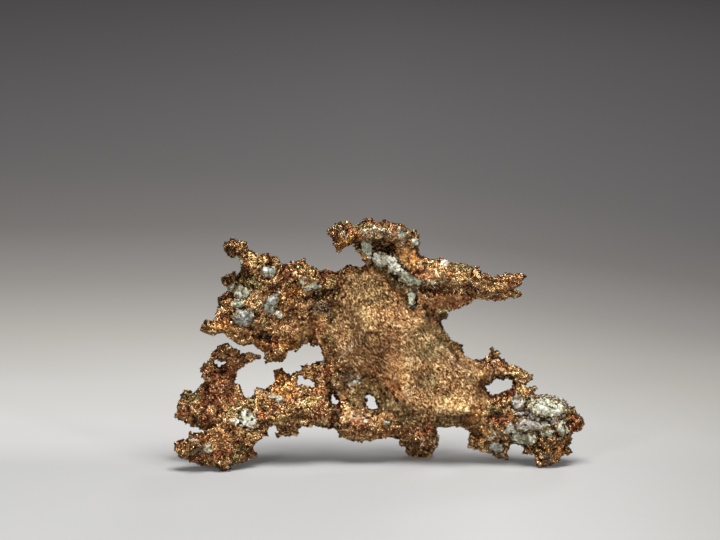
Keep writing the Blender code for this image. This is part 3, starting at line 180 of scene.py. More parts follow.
# The back carries on what the front shows at its edges.
BACK_PATCHES = [
    ("mint", -46, 60, 7, 4.2, 25), ("blue", -33, 69, 3, 1.6, -20), ("mint", 59, 20, 7, 5),
    ("lilac", 51, 17, 4, 3, 20), ("white", -50, 18, 3.2, 1.8), ("mint", -14, 45, 5.5, 2.4, 30),
    ("olive", 12, 40, 7, 4.5, 20), ("red", -20, 62, 6, 3), ("orange", 24, 32, 6, 4),
    ("gold", 4, 62, 6, 3.5, -20), ("red", -58, 30, 5, 7), ("dark", 4, 52, 4, 2.5),
    ("olive", -52, 10, 6, 3), ("white", 6, 80, 3, 2), ("red", 26, 66, 8, 2.4, 8),
    ("olive", -2, 24, 6, 3), ("grey", -30, 24, 5, 2, 10), ("gold", 44, 30, 4, 2.4),
]
PATCHES = [(FRONT, *row) for row in FRONT_PATCHES] + [(BACK, *row) for row in BACK_PATCHES]

# Lines of a finish: its kind, the line, and its half width.
FRONT_STREAKS = [
    ("white", [(-2.2, 78), (2.8, 75.7), (7, 73.8)], 1.2),
    ("mint", [(6.5, 74.2), (10.1, 70.2), (13.8, 68.4)], 1.2),
    ("mint", [(12.2, 65), (12, 62.5), (11.8, 60)], 0.9),
    ("olive", [(-2, 75.4), (4, 71.5), (9, 66), (13, 60)], 1.2),
    # this pink line and the pink one at (0.5, 43) run on ridges of FRONT_CREASES: painted highlights
    ("pink", [(23, 45), (26, 42.5), (28, 39), (31, 36.5), (32.5, 34.5)], 0.8),
    # the dark lines from here on lie in the grooves of FRONT_CREASES: painted shade
    ("red", [(-1.5, 37), (4, 33), (10, 26)], 1), ("dark", [(0.6, 41.6), (3.4, 44.4)], 0.3),
    ("white", [(-10.5, 31), (-8.6, 32.4), (-7.4, 34.2)], 0.6),
    ("white", [(-8.4, 32.6), (-5.8, 31.6)], 0.5),
    ("dark", [(-5.2, 45), (-5.8, 47.6), (-4.6, 49.6), (-2.4, 50.2)], 0.35),
    # the pale line at (21, 22.6) lies on the crest above the plate's lower edge: a painted highlight
    ("pink", [(0.5, 43), (2.5, 45.5)], 0.4), ("pale", [(21, 22.6), (24, 23.2)], 0.6),
    ("pink", [(-14, 41), (-8, 49)], 0.7), ("gold", [(38, 36), (42, 36.2), (46, 38)], 0.8),
    ("dark", [(-27, 63), (-21, 64.2), (-16, 66)], 0.8),
    ("dark", [(15, 66.4), (22, 66.2), (26, 66.6)], 0.5),
    ("dark", [(-17, 15), (-16.4, 19), (-15, 23)], 0.7),
    ("olive", [(53.5, 20.5), (54.5, 24), (54, 27)], 0.8), ("olive", [(56, 20.6), (58, 22.2)], 0.6),
    # this pale line runs on a ridge of FRONT_CREASES: a painted highlight
    ("pale", [(-17, 33), (-15.5, 31), (-14.8, 28)], 0.6),
]
BACK_STREAKS = [
    # the dark lines lie in the grooves of BACK_CREASES: painted shade
    ("mint", [(-20, 40), (-8, 52), (2, 56)], 0.9), ("dark", [(-30, 66), (-16, 60), (-4, 58)], 0.9),
    ("dark", [(18, 62), (34, 68)], 0.8),
]
STREAKS = [(FRONT, *row) for row in FRONT_STREAKS] + [(BACK, *row) for row in BACK_STREAKS]

# Ridges along a line, or grooves where the height is negative: the line, its width and its height.
FRONT_CREASES = [
    ([(0.4, 41.4), (3.6, 44.6)], 0.5, -0.6), ([(-0.2, 42.4), (2.6, 45.6)], 0.6, 0.35),
    ([(-5.6, 45.4), (-5.8, 47.6), (-4.6, 49.6), (-2.4, 50.2), (-0.4, 49)], 0.5, -1),
    ([(-5.2, 45), (-3, 43.8), (-0.6, 44.6), (0.2, 46.6)], 0.5, -0.7),
    ([(-7, 45.2), (-7.2, 48), (-5.6, 51), (-2.4, 51.8), (0.6, 50.4)], 0.9, 0.3),
    ([(-27, 63), (-21, 64.2), (-16, 66)], 0.9, -1.1), ([(-26, 61.2), (-20, 62), (-15.5, 63.4)], 0.9, 0.5),
    ([(15, 66.4), (24, 66.2), (33, 67.6)], 0.8, -0.9), ([(15, 68.6), (25, 68.8), (34, 70.4)], 0.8, 0.7),
    ([(-2, 75.4), (4, 71.5), (9, 66), (13, 60)], 1.2, -0.5),
    ([(-17, 15), (-16.4, 19), (-15, 23)], 0.8, -1.1), ([(-18.5, 17), (-17.6, 21)], 0.8, 0.5),
    ([(23, 45), (26, 42.5), (28, 39), (31, 36.5), (32.5, 34.5)], 0.9, 0.6),
    ([(-17, 34), (-15.5, 31), (-14.6, 27)], 0.7, 0.8), ([(-12, 34), (-11.4, 30), (-11, 26)], 0.8, -0.8),
    ([(-1.5, 37), (4, 33), (10, 26)], 0.9, -0.5), ([(20, 21), (26, 22.4), (33, 22)], 0.8, 0.4),
    ([(21, 19), (27, 19.4), (34, 18.8)], 0.9, -0.6), ([(-43, 50), (-38, 46.5)], 0.9, -0.9),
    ([(-38, 17.4), (-33, 18), (-26, 20)], 0.9, -0.8), ([(-38, 19.6), (-33, 20.2), (-27, 22)], 0.8, 0.6),
]
BACK_CREASES = [
    ([(-30, 66), (-16, 60), (-4, 58)], 1.1, -1), ([(18, 62), (34, 68)], 1, -1),
    ([(-12, 38), (0, 46), (14, 48), (26, 42)], 1.4, 0.6), ([(-24, 22), (-6, 28), (10, 24)], 1.2, -0.8),
]
CREASES = [(FRONT, *row) for row in FRONT_CREASES] + [(BACK, *row) for row in BACK_CREASES]

# dark is not a finish of the metal but painted shade, in grooves and under overhangs
FINISHES = ["orange", "gold", "red", "olive", "grey", "pink", "pale", "dark"]
MINERALS = ["mint", "white", "blue", "lilac"]


# ---------------- points and places


def to_face(points):
    """Places on the broad face, in mm, as columns u, v and d, of points in the frame, in metres."""
    row = points / MM - FACE_ORIGIN
    lean_cos, lean_sin = math.cos(LEAN), math.sin(LEAN)
    return np.stack(
        [row[:, 0], row[:, 1] * lean_sin + row[:, 2] * lean_cos,
         row[:, 1] * lean_cos - row[:, 2] * lean_sin], axis=1)


def from_face(u, v, d):
    """The point in the frame, in metres, at one place on the broad face."""
    lean_cos, lean_sin = math.cos(LEAN), math.sin(LEAN)
    row = np.array([u, d * lean_cos + v * lean_sin, v * lean_cos - d * lean_sin])
    return Vector((row + FACE_ORIGIN) * MM)


def smoothstep(low, high, value):
    t = np.clip((value - low) / (high - low), 0, 1)
    return t * t * (3 - 2 * t)


def noise_at(points, size, seed):
    """Smooth noise from -1 to 1 at each point, with bumps about `size` mm across."""
    shift = Vector((seed * 17.3, seed * 5.1, seed * 9.7))
    scale = 1 / (size * MM)
    return np.array([noise.noise(Vector(p) * scale + shift) for p in points])


def nearest_cells(points, size, seed):
    """How far each point lies from the two nearest of scattered middles about `size` mm apart."""
    shift = Vector((seed * 3.3, seed * 11.9, seed * 7.7))
    scale = 1 / (size * MM)
    return np.array([noise.voronoi(Vector(p) * scale + shift)[0][:2] for p in points])


def cells_at(points, size, seed):
    """0 on the borders of crystal-like cells about `size` mm across, rising to about 1 inside them."""
    near = nearest_cells(points, size, seed)
    return np.clip((near[:, 1] - near[:, 0]) * 1.6, 0, 1)


def nodules_at(points, size, seed):
    """Rounded nodules about `size` mm across: 1 at the top of one, -1 in the creases between them."""
    return np.clip(1 - 3.4 * nearest_cells(points, size, seed)[:, 0] ** 2, -1, 1)


def ridges_at(points, size, seed):
    """Thin ridges about `size` mm apart: 1 on top of one, falling below -1 between them."""
    return 1 - np.abs(noise_at(points, size, seed)) * 4.5


def bent_points(points, size, reach, seed):
    """The points moved by smooth noise of `size` mm, by up to about `reach` mm."""
    shift = np.stack([noise_at(points, size, seed + k) for k in range(3)], axis=1)
    return points + shift * (reach * MM)


def distance_to_line(uv, line):
    best = np.full(len(uv), np.inf)
    for a, b in zip(line[:-1], line[1:]):
        a, b = np.array(a, float), np.array(b, float)
        along = np.clip(((uv - a) @ (b - a)) / ((b - a) @ (b - a)), 0, 1)
        best = np.minimum(best, np.linalg.norm(uv - (a + along[:, None] * (b - a)), axis=1))
    return best


def inside_outline(uv, outline, soft):
    """1 well inside an outline, falling to 0 outside it over `soft` mm."""
    inside = np.zeros(len(uv), bool)
    closed = outline + outline[:1]
    for (ua, va), (ub, vb) in zip(closed[:-1], closed[1:]):
        crosses = (va > uv[:, 1]) != (vb > uv[:, 1])
        at = ua + (uv[:, 1] - va) / ((vb - va) or 1e-9) * (ub - ua)
        inside ^= crosses & (uv[:, 0] < at)
    gap = distance_to_line(uv, closed) * np.where(inside, 1, -1)
    return smoothstep(-soft, soft, gap)


def rim_shade_share(normals):
    """1 where a surface faces sideways or up, as at the nugget's rim, and 0 on its two broad sides: where
    the metal is darkened as painted shade.
    """
    return smoothstep(0.45, 0.95, 1 - np.abs(normals[:, 1]))


def side_share(normals, side):
    """How much a surface faces one side of the nugget, from 0 to 1, from its normals' y."""
    return smoothstep(-0.35, 0.25, normals[:, 1] * side)


def along_and_across(u, v, degrees):
    """How far each place lies along a direction on the face, and across it."""
    turn = np.radians(degrees)
    return u * np.cos(turn) + v * np.sin(turn), v * np.cos(turn) - u * np.sin(turn)


def oval_at(uv, u, v, half_long, half_wide, degrees=0):
    """How far each place lies from an oval's middle: 1 on its outline."""
    along, across = along_and_across(uv[:, 0] - u, uv[:, 1] - v, degrees)
    return np.hypot(along / half_long, across / half_wide)


def ragged_places(points, size, reach, seed):
    """Places on the face, moved by noise, so that a border that is drawn there comes out ragged."""
    moved = np.stack([noise_at(points, size, seed), noise_at(points, size, seed + 1)], axis=1)
    return to_face(points)[:, :2] + moved * reach


def finishes_at(points, normals):
    """The share of each named finish at each point, from the patches and streaks that cover it."""
    uv = ragged_places(points, FINISH_RAG_SIZE, FINISH_RAG, 1)
    sides = {side: side_share(normals, side) for side in (FRONT, BACK)}
    shares = {kind: np.zeros(len(points)) for kind in FINISHES + MINERALS}
    for side, kind, *oval in PATCHES:
        share = smoothstep(1.25, 0.75, oval_at(uv, *oval)) * sides[side]
        shares[kind] = np.maximum(shares[kind], share)
    for side, kind, line, half_width in STREAKS:
        share = smoothstep(1.4, 0.7, distance_to_line(uv, line) / half_width) * sides[side]
        shares[kind] = np.maximum(shares[kind], share)
    return shares


def tone_at(points, calm):
    """How bright the metal is, about 0.5 on the whole, in broad ovals and in small patches."""
    face = to_face(points)
    tone = 0.5 + 0.6 * noise_at(points, TONE_SIZE, 8) * (1 - 0.85 * calm)
    for *oval, change in TONE_OVALS:
        tone += change * smoothstep(1.4, 0.5, oval_at(face, *oval))
    return tone


def on_plate(points):
    """1 on the central plate, 0 off it, with a ragged border."""
    return inside_outline(ragged_places(points, PLATE_RAG_SIZE, PLATE_RAG, 51), PLATE_OUTLINE, PLATE_SOFT)


def calm_at(points, normals):
    """1 on the smooth central plate, 0 where the metal is hackly."""
    face = to_face(points)
    calm = on_plate(points)
    for *oval, most in CALM_OVALS:
        calm = np.maximum(calm, smoothstep(1.3, 0.7, oval_at(face, *oval)) * most)
    return calm * np.abs(normals[:, 1]) ** 0.5


def crinkle_at(points):
    """The fine lines that run along the plate, from about -1 between them to 1 on top of them."""
    face = to_face(points)
    bend = noise_at(points, CRINKLE_BEND_SIZE, 21)
    along, across = along_and_across(face[:, 0], face[:, 1], PLATE_GRAIN + CRINKLE_TURN * bend)
    drawn = np.stack([across + CRINKLE_SHIFT * bend, along / CRINKLE_STRETCH, face[:, 2]], axis=1) * MM
    return np.clip(ridges_at(drawn, CRINKLE_SIZE, 24), -1, 1)


def folds_at(points):
    """Folds that run the way that the metal does at each place, from about -1 between them to 1."""
    face = to_face(points)
    away = np.array([np.hypot(face[:, 0] - u, face[:, 1] - v) for u, v, _ in FOLD_RUNS])
    near = np.exp(-away / FOLD_REACH)
    share = near / near.sum(axis=0)
    folds = np.zeros(len(points))
    for (u, v, degrees), weight in zip(FOLD_RUNS, share):
        here = np.flatnonzero(weight > 0.02)
        along, across = along_and_across(face[here, 0] - u, face[here, 1] - v, degrees)
        drawn = np.stack([across, along / FOLD_STRETCH, face[here, 2]], axis=1) * MM
        folds[here] += weight[here] * ridges_at(drawn, FOLD_SIZE, 3)
    return np.clip(folds, -1, 1)


def crest_at(points):
    """How the metal's nodules and ledges stand, from -1 in the crevices to 1 on the crests."""
    bent = bent_points(points, 3.0, 1.6, 31)
    nodules = 0.45 * nodules_at(bent, NODULE_SIZE, 4) + 0.35 * nodules_at(bent, SMALL_NODULE_SIZE, 9)
    return np.clip(0.45 * folds_at(bent) + nodules, -1, 1)


# ---------------- meshes


def mesh_points(mesh):
    co = np.empty(len(mesh.vertices) * 3)
    mesh.vertices.foreach_get("co", co)
    return co.reshape(-1, 3)


def mesh_normals(mesh):
    out = np.empty(len(mesh.vertices) * 3)
    mesh.vertex_normals.foreach_get("vector", out)
    return out.reshape(-1, 3)


def set_points(mesh, points):
    mesh.vertices.foreach_set("co", points.astype(np.float32).ravel())
    mesh.update()


def store(mesh, name, values):
    layer = mesh.attributes.get(name) or mesh.attributes.new(name, "FLOAT", "POINT")
    layer.data.foreach_set("value", np.asarray(values, np.float32))


def stored(mesh, name):
    values = np.empty(len(mesh.vertices))
    mesh.attributes[name].data.foreach_get("value", values)
    return values


def new_piece(name, mesh):
    piece = bpy.data.objects.new(name, mesh)
    bpy.context.scene.collection.objects.link(piece)
    return piece


def applied(piece, modifiers):
    """The piece's mesh after some modifiers, given as (type, settings)."""
    for kind, settings in modifiers:
        modifier = piece.modifiers.new(kind, kind)
        for key, value in settings.items():
            setattr(modifier, key, value)
    evaluated = piece.evaluated_get(bpy.context.evaluated_depsgraph_get())
    mesh = bpy.data.meshes.new_from_object(evaluated)
    piece.modifiers.clear()
    piece.data = mesh
    return mesh


def fine_copy(node, name, voxel, smoothing):
    """A finely meshed, softened copy of a CAD node, as a new piece."""
    piece = new_piece(name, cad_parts[node].data.copy())
    piece.data.materials.clear()
    applied(piece, [
        ("REMESH", {"mode": "VOXEL", "voxel_size": voxel * MM}),
        ("SMOOTH", {"factor": 0.5, "iterations": smoothing}),
    ])
    return piece


def kept_in_box(points):
    low, high = np.array(cad_box[0]), np.array(cad_box[1])
    spare = np.array([SPARE["x"], SPARE["y"], SPARE["z"]]) * MM
    floor = np.array([-np.inf, -np.inf, 0.0])
    return np.clip(points, np.maximum(low - spare, floor), high + spare)


def broken(share, chance):
    """A finish that thins out towards its edge, crystal by crystal: a chance from 0 to 1 picks them."""
    return smoothstep(chance * 0.85, chance * 0.85 + 0.15, share)


def store_each(mesh, marks, times):
    """Stores named values on a mesh, each value for the next `times` of its points."""
    for name, values in marks.items():
        store(mesh, name, np.repeat(values, times))


# ---------------- the copper


def make_skin():
    """The copper's surface: the CAD mass, finely meshed, with its small folds and hackly relief."""
    skin = fine_copy("copper_mass", "copper_skin", SKIN_VOXEL, SKIN_SMOOTHING)
    mesh = skin.data
    points, normals = mesh_points(mesh), mesh_normals(mesh)
    calm = calm_at(points, normals)
    face = to_face(points)
    sides = {side: side_share(normals, side) for side in (FRONT, BACK)}

    lift = np.zeros(len(points))
    for side, line, width, height in CREASES:
        gap = distance_to_line(face[:, :2], line)
        lift += height * np.exp(-(gap / width) ** 2) * sides[side]
    crest = crest_at(points)
    crinkle = crinkle_at(points)
    chip = cells_at(points, CHIP_SIZE, 5) - 0.5
    pebble = noise_at(points, PEBBLE_SIZE, 6)
    pebbly = PEBBLE_HEIGHT * pebble
    hackly = CREST_HEIGHT * crest + CHIP_HEIGHT * chip + pebbly - SKIN_INSET
    granular = CALM_CREST_HEIGHT * crest + CALM_CHIP_HEIGHT * chip + pebbly + CRINKLE_HEIGHT * crinkle
    rim = smoothstep(0.5, 1.0, 1 - np.abs(normals[:, 1]))
    relief = calm * granular + (1 - calm) * (hackly - RIM_INSET * rim)
    set_points(mesh, kept_in_box(points + normals * ((lift + relief) * MM)[:, None]))

    # rise and crest make the high relief brighter and the low relief darker: partly wear and patina,
    # partly painted highlight and painted shade
    rise = np.clip(0.5 + chip * 0.5 + pebble * 0.3 + lift * 0.35 + calm * crinkle * 0.3, 0, 1)
    store(mesh, "rise", rise)
    store(mesh, "crest", 0.5 + 0.5 * crest * (1 - 0.75 * calm))
    store(mesh, "calm", calm)
    # edge: how much the surface faces sideways, which darkens the metal as painted shade
    store(mesh, "edge", rim_shade_share(normals))
    kept = SKIN_FACES / (2 * len(mesh.polygons))
    mesh = applied(skin, [("DECIMATE", {"ratio": min(1.0, kept)})])
    mesh.shade_smooth()
    set_points(mesh, kept_in_box(mesh_points(mesh)))
    points, normals = mesh_points(mesh), mesh_normals(mesh)
    store_each(mesh, finishes_at(points, normals), 1)
    store(mesh, "tone", tone_at(points, calm_at(points, normals)))
    return skin


OCTAHEDRON = (
    np.array([(1, 0, 0), (-1, 0, 0), (0, 1, 0), (0, -1, 0), (0, 0, 1), (0, 0, -1)], float),
    [(0, 2, 4), (2, 1, 4), (1, 3, 4), (3, 0, 4), (2, 0, 5), (1, 2, 5), (3, 1, 5), (0, 3, 5)],
)
SHARD = (
    np.array([(1, 1, 1), (1, -1, -1), (-1, 1, -1), (-1, -1, 1)], float) * 0.75,
    [(0, 1, 2), (0, 3, 1), (0, 2, 3), (1, 3, 2)],
)
CUBE = (
    np.array([(x, y, z) for x in (-1, 1) for y in (-1, 1) for z in (-1, 1)], float) * 0.68,
    [(0, 1, 3), (0, 3, 2), (4, 6, 7), (4, 7, 5), (0, 4, 5), (0, 5, 1),
     (2, 3, 7), (2, 7, 6), (0, 2, 6), (0, 6, 4), (1, 5, 7), (1, 7, 3)],
)


def random_turns(rng, count):
    """Random rotations, as matrices, from random unit quaternions."""
    q = rng.normal(size=(count, 4))
    w, x, y, z = (q / np.linalg.norm(q, axis=1)[:, None]).T
    rows = [
        [1 - 2 * (y * y + z * z), 2 * (x * y - z * w), 2 * (x * z + y * w)],
        [2 * (x * y + z * w), 1 - 2 * (x * x + z * z), 2 * (y * z - x * w)],
        [2 * (x * z - y * w), 2 * (y * z + x * w), 1 - 2 * (x * x + y * y)],
    ]
    return np.array(rows).transpose(2, 0, 1)


def scatter(mesh, rng, count, weight):
    """Points on a mesh with their normals, picked by area times a weight for each vertex."""
    mesh.calc_loop_triangles()
    corners = np.empty(len(mesh.loop_triangles) * 3, np.int64)
    mesh.loop_triangles.foreach_get("vertices", corners)
    corners = corners.reshape(-1, 3)
    points, normals = mesh_points(mesh), mesh_normals(mesh)
    a, b, c = (points[corners[:, k]] for k in range(3))
    area = np.linalg.norm(np.cross(b - a, c - a), axis=1)
    share = area * weight[corners].mean(axis=1)
    picked = rng.choice(len(corners), size=count, p=share / share.sum())
    r, s = rng.random(count), rng.random(count)
    flip = r + s > 1
    r, s = np.where(flip, 1 - r, r), np.where(flip, 1 - s, s)
    at = a[picked] + (b - a)[picked] * r[:, None] + (c - a)[picked] * s[:, None]
    return at, normals[corners[picked, 0]]


def make_grains(name, shape, at, normals, size, stretch, rng):
    """One mesh of many small crystals: each stands on its point, stretched along its normal."""
    corners, faces = shape
    count, sides = len(at), len(corners)
    local = np.einsum("nij,kj->nki", random_turns(rng, count), corners)
    local *= (size[:, None] * rng.uniform(0.7, 1.3, (count, sides)))[:, :, None] * MM
    out = np.einsum("nki,ni->nk", local, normals)
    local += (out * (stretch - 1)[:, None])[:, :, None] * normals[:, None, :]
    points = kept_in_box((at[:, None, :] + local).reshape(-1, 3))
    starts = (np.arange(count) * sides)[:, None, None]
    polygons = (np.array(faces)[None] + starts).reshape(-1, 3)
    mesh = bpy.data.meshes.new(name)
    mesh.vertices.add(len(points))
    mesh.loops.add(polygons.size)
    mesh.polygons.add(len(polygons))
    mesh.vertices.foreach_set("co", points.ravel())
    mesh.loops.foreach_set("vertex_index", polygons.ravel())
    mesh.polygons.foreach_set("loop_start", np.arange(len(polygons)) * 3)
    mesh.update(calc_edges=True)
    # each crystal is brighter at its tip and darker at its foot: a painted highlight and painted shade
    rise = 0.5 + 0.5 * out / (size[:, None] * MM)
    return new_piece(name, mesh), rise.ravel(), sides


REGIONS = {
    "wing": lambda u, v: (u < -15) & (v >= 42),
    "arm": lambda u, v: (u < -15) & (v < 42),
    "plate": lambda u, v: (u >= -15) & (u < 38) & (v < 60),
    "top": lambda u, v: (u >= -15) & (v >= 60),
    "right": lambda u, v: (u >= 38) & (v < 60),
}


def make_copper_grains(skin):
    """The copper crystals that grow all over the metal, densest at its edges, in one piece a region."""
    rng = np.random.default_rng(SEED)
    mesh = skin.data
    points, normals = mesh_points(mesh), mesh_normals(mesh)
    calm = calm_at(points, normals)
    edge = 1 - np.abs(normals[:, 1])
    mineral = np.max([stored(mesh, kind) for kind in MINERALS], axis=0)
    crest = crest_at(points)
    weight = (0.03 + (1 - calm)) * (0.5 + edge) * (1 - 0.7 * mineral)
    weight *= 0.25 + smoothstep(-0.6, 0.6, crest)
    at, facing = scatter(mesh, rng, GRAINS, weight)
    calm_here = calm_at(at, facing)
    size = rng.lognormal(-1.0, 0.38, GRAINS) * (1 - 0.5 * calm_here)
    size = np.clip(size, 0.14, 0.85)
    stretch = np.where(calm_here > 0.5, 0.5, rng.uniform(0.6, 1.4, GRAINS))
    at = at - facing * (size * 0.25 * MM)[:, None]
    chance = rng.random(GRAINS)
    marks = {kind: broken(share, chance) for kind, share in finishes_at(at, facing).items()}
    marks["tone"] = tone_at(at, calm_here) + rng.normal(size=GRAINS) * 0.2
    marks["crest"] = 0.5 + 0.5 * crest_at(at) * (1 - 0.7 * calm_here)
    marks["calm"], marks["edge"] = calm_here, rim_shade_share(facing)
    u, v = to_face(at).T[:2]
    kind_of = rng.random(GRAINS)
    pieces = []
    shapes = [("shards", SHARD, kind_of < 0.5), ("chips", OCTAHEDRON, (kind_of >= 0.5) & (kind_of < 0.78)),
              ("cubes", CUBE, kind_of >= 0.78)]
    for region, belongs in REGIONS.items():
        for label, shape, chosen in shapes:
            here = np.flatnonzero(belongs(u, v) & chosen)
            piece, rise, sides = make_grains(
                f"copper_{label}_{region}", shape, at[here], facing[here], size[here], stretch[here], rng)
            store_each(piece.data, {mark: values[here] for mark, values in marks.items()}, sides)
            store(piece.data, "rise", rise)
            pieces.append(piece)
    return pieces


# ---------------- the minerals


VEINS = ("matrix_top_vein", "matrix_top_drop")  # these bend, and have no stained rim
GREY_LUMPS = ("matrix_right_middle", "matrix_right_inner", "matrix_left_top",
              "matrix_left_long", "matrix_left_low", "matrix_back_wing")


def make_lump(node, name):
    """A mineral lump: the CAD's lump, finely meshed and grown into its pocket, with a crystalline face."""
    lump = fine_copy(node, name, LUMP_VOXEL, LUMP_SMOOTHING)
    mesh = lump.data
    points, normals = mesh_points(mesh), mesh_normals(mesh)
    relief = mineral_relief(points)
    facing = np.abs(normals[:, 1])
    swell = (VEIN_SWELL if node in VEINS else LUMP_SWELL) * noise_at(points, 2.6, 16) * (1 - facing)
    if node in VEINS:
        points[:, 0] += VEIN_BEND * MM * noise_at(points, VEIN_BEND_SIZE, 18)
        points[:, 2] += VEIN_BEND * MM * noise_at(points, VEIN_BEND_SIZE, 19)
    grow = LUMP_FILL + swell - LUMP_SINK * facing
    set_points(mesh, kept_in_box(points + normals * ((grow + relief * LUMP_RELIEF) * MM)[:, None]))
    store_each(mesh, finishes_at(points, normals), 1)
    # rise also shades the mineral's colour: painted shade in its cracks, painted highlight on its blocks
    store(mesh, "rise", 0.5 + 0.5 * relief)
    store(mesh, "tone", 0.5 + 0.5 * noise_at(points, 1.2, 14))
    if node not in VEINS:
        uv = to_face(points)[:, :2]
        low, high = uv.min(axis=0), uv.max(axis=0)
        store(mesh, "rim", np.hypot(*((uv - (low + high) / 2) / ((high - low) / 2)).T))
    return lump


def mineral_relief(points):
    """How a mineral's broken blocks stand, from -1 in the cracks between them to 1."""
    bent = bent_points(points, 2.0, 1.2, 41)
    cracks = np.clip(np.abs(noise_at(bent, 3.2, 13)) * 5, 0, 1) - 0.8
    chips = cells_at(bent, 1.3, 12) - 0.5
    return np.clip(0.7 * cracks + 0.35 * chips + 0.4 * noise_at(points, 0.9, 15), -1, 1)


def shared_out(count, pieces):
    """A count of crystals, shared out over some pieces by their area."""
    areas = [sum(face.area for face in piece.data.polygons) for piece in pieces]
    return [int(count * area / sum(areas)) for area in areas]


def make_crust(skin, lumps):
    """Small mineral crystals over the lumps and over the coated parts of the copper."""
    rng = np.random.default_rng(SEED + 1)
    mineral = np.max([stored(skin.data, kind) for kind in MINERALS], axis=0)
    spots = [scatter(skin.data, rng, SKIN_CRUST, mineral ** 1.5)]
    for lump, count in zip(lumps, shared_out(LUMP_CRUST, lumps)):
        spots.append(scatter(lump.data, rng, count, smoothstep(0.2, 0.6, stored(lump.data, "rise"))))
    at, facing = (np.concatenate(column) for column in zip(*spots))
    count = len(at)
    size = np.clip(rng.lognormal(-1.35, 0.4, count), 0.12, 0.6)
    stretch = rng.uniform(0.7, 1.4, count)
    tone = rng.random(count)
    blocks = 0.5 + 0.5 * mineral_relief(at)
    marks = {**finishes_at(at, facing), "tone": tone}
    is_cube = rng.random(count) < 0.4
    pieces = []
    for label, shape, chosen in (("blocks", CUBE, is_cube), ("flakes", SHARD, ~is_cube)):
        here = np.flatnonzero(chosen)
        piece, rise, sides = make_grains(
            f"mineral_{label}", shape, at[here], facing[here], size[here], stretch[here], rng)
        store_each(piece.data, {mark: values[here] for mark, values in marks.items()}, sides)
        # lighter on the crystals' tips and on raised blocks, darker in the cracks: painted highlight and
        # painted shade
        store(piece.data, "rise", 0.4 * rise + 0.6 * np.repeat(blocks[here], sides))
        pieces.append(piece)
    return pieces


def make_flecks(lumps):
    """Copper crystals in the cracks of the mineral lumps and round their rims."""
    rng = np.random.default_rng(SEED + 3)
    spots = []
    for lump, count in zip(lumps, shared_out(FLECKS, lumps)):
        normals = mesh_normals(lump.data)
        rim = smoothstep(0.35, 0.8, 1 - np.abs(normals[:, 1]))
        crack = smoothstep(0.4, 0.15, stored(lump.data, "rise"))
        spots.append(scatter(lump.data, rng, count, rim + 0.15 * crack + 0.01))
    at, facing = (np.concatenate(column) for column in zip(*spots))
    count = len(at)
    size = np.clip(rng.lognormal(-1.1, 0.35, count), 0.14, 0.6)
    piece, rise, sides = make_grains(
        "copper_flecks", OCTAHEDRON, at, facing, size, rng.uniform(0.8, 1.6, count), rng)
    marks = {"olive": (rng.random(count) < 0.5) * 0.8, "tone": rng.random(count) ** 1.8,
             "crest": np.full(count, 0.35)}
    store_each(piece.data, marks, sides)
    store(piece.data, "rise", rise * 0.8)
    return piece


def make_teeth(skin):
    """Long crystals that stand out from the copper's rim."""
    rng = np.random.default_rng(SEED + 2)
    mesh = skin.data
    points, normals = mesh_points(mesh), mesh_normals(mesh)
    rim = smoothstep(0.55, 0.95, 1 - np.abs(normals[:, 1])) * (1 - 0.7 * on_plate(points))
    face = to_face(points)
    for u, v, reach in HOLES:
        rim *= 1 + HOLE_TEETH * smoothstep(1.2, 0.8, oval_at(face, u, v, reach, reach))
    at, facing = scatter(mesh, rng, TEETH, rim)
    size = np.clip(rng.lognormal(-0.85, 0.35, TEETH), 0.2, 0.85)
    lean = facing + rng.normal(size=(TEETH, 3)) * 0.35
    lean /= np.linalg.norm(lean, axis=1)[:, None]
    piece, rise, sides = make_grains(
        "copper_teeth", OCTAHEDRON, at + lean * 0.1 * MM, lean, size, rng.uniform(0.9, 1.6, TEETH), rng)
    finishes = finishes_at(at, facing)
    marks = {kind: finishes[kind] for kind in FINISHES}
    marks |= {"tone": rng.random(TEETH) ** 1.5 * 0.7, "crest": np.full(TEETH, 0.3)}
    # the edge mark paints the rim's shade onto the teeth
    marks["edge"] = np.full(TEETH, 0.6)
    store_each(piece.data, marks, sides)
    store(piece.data, "rise", rise * 0.6)
    return piece


# ---------------- materials


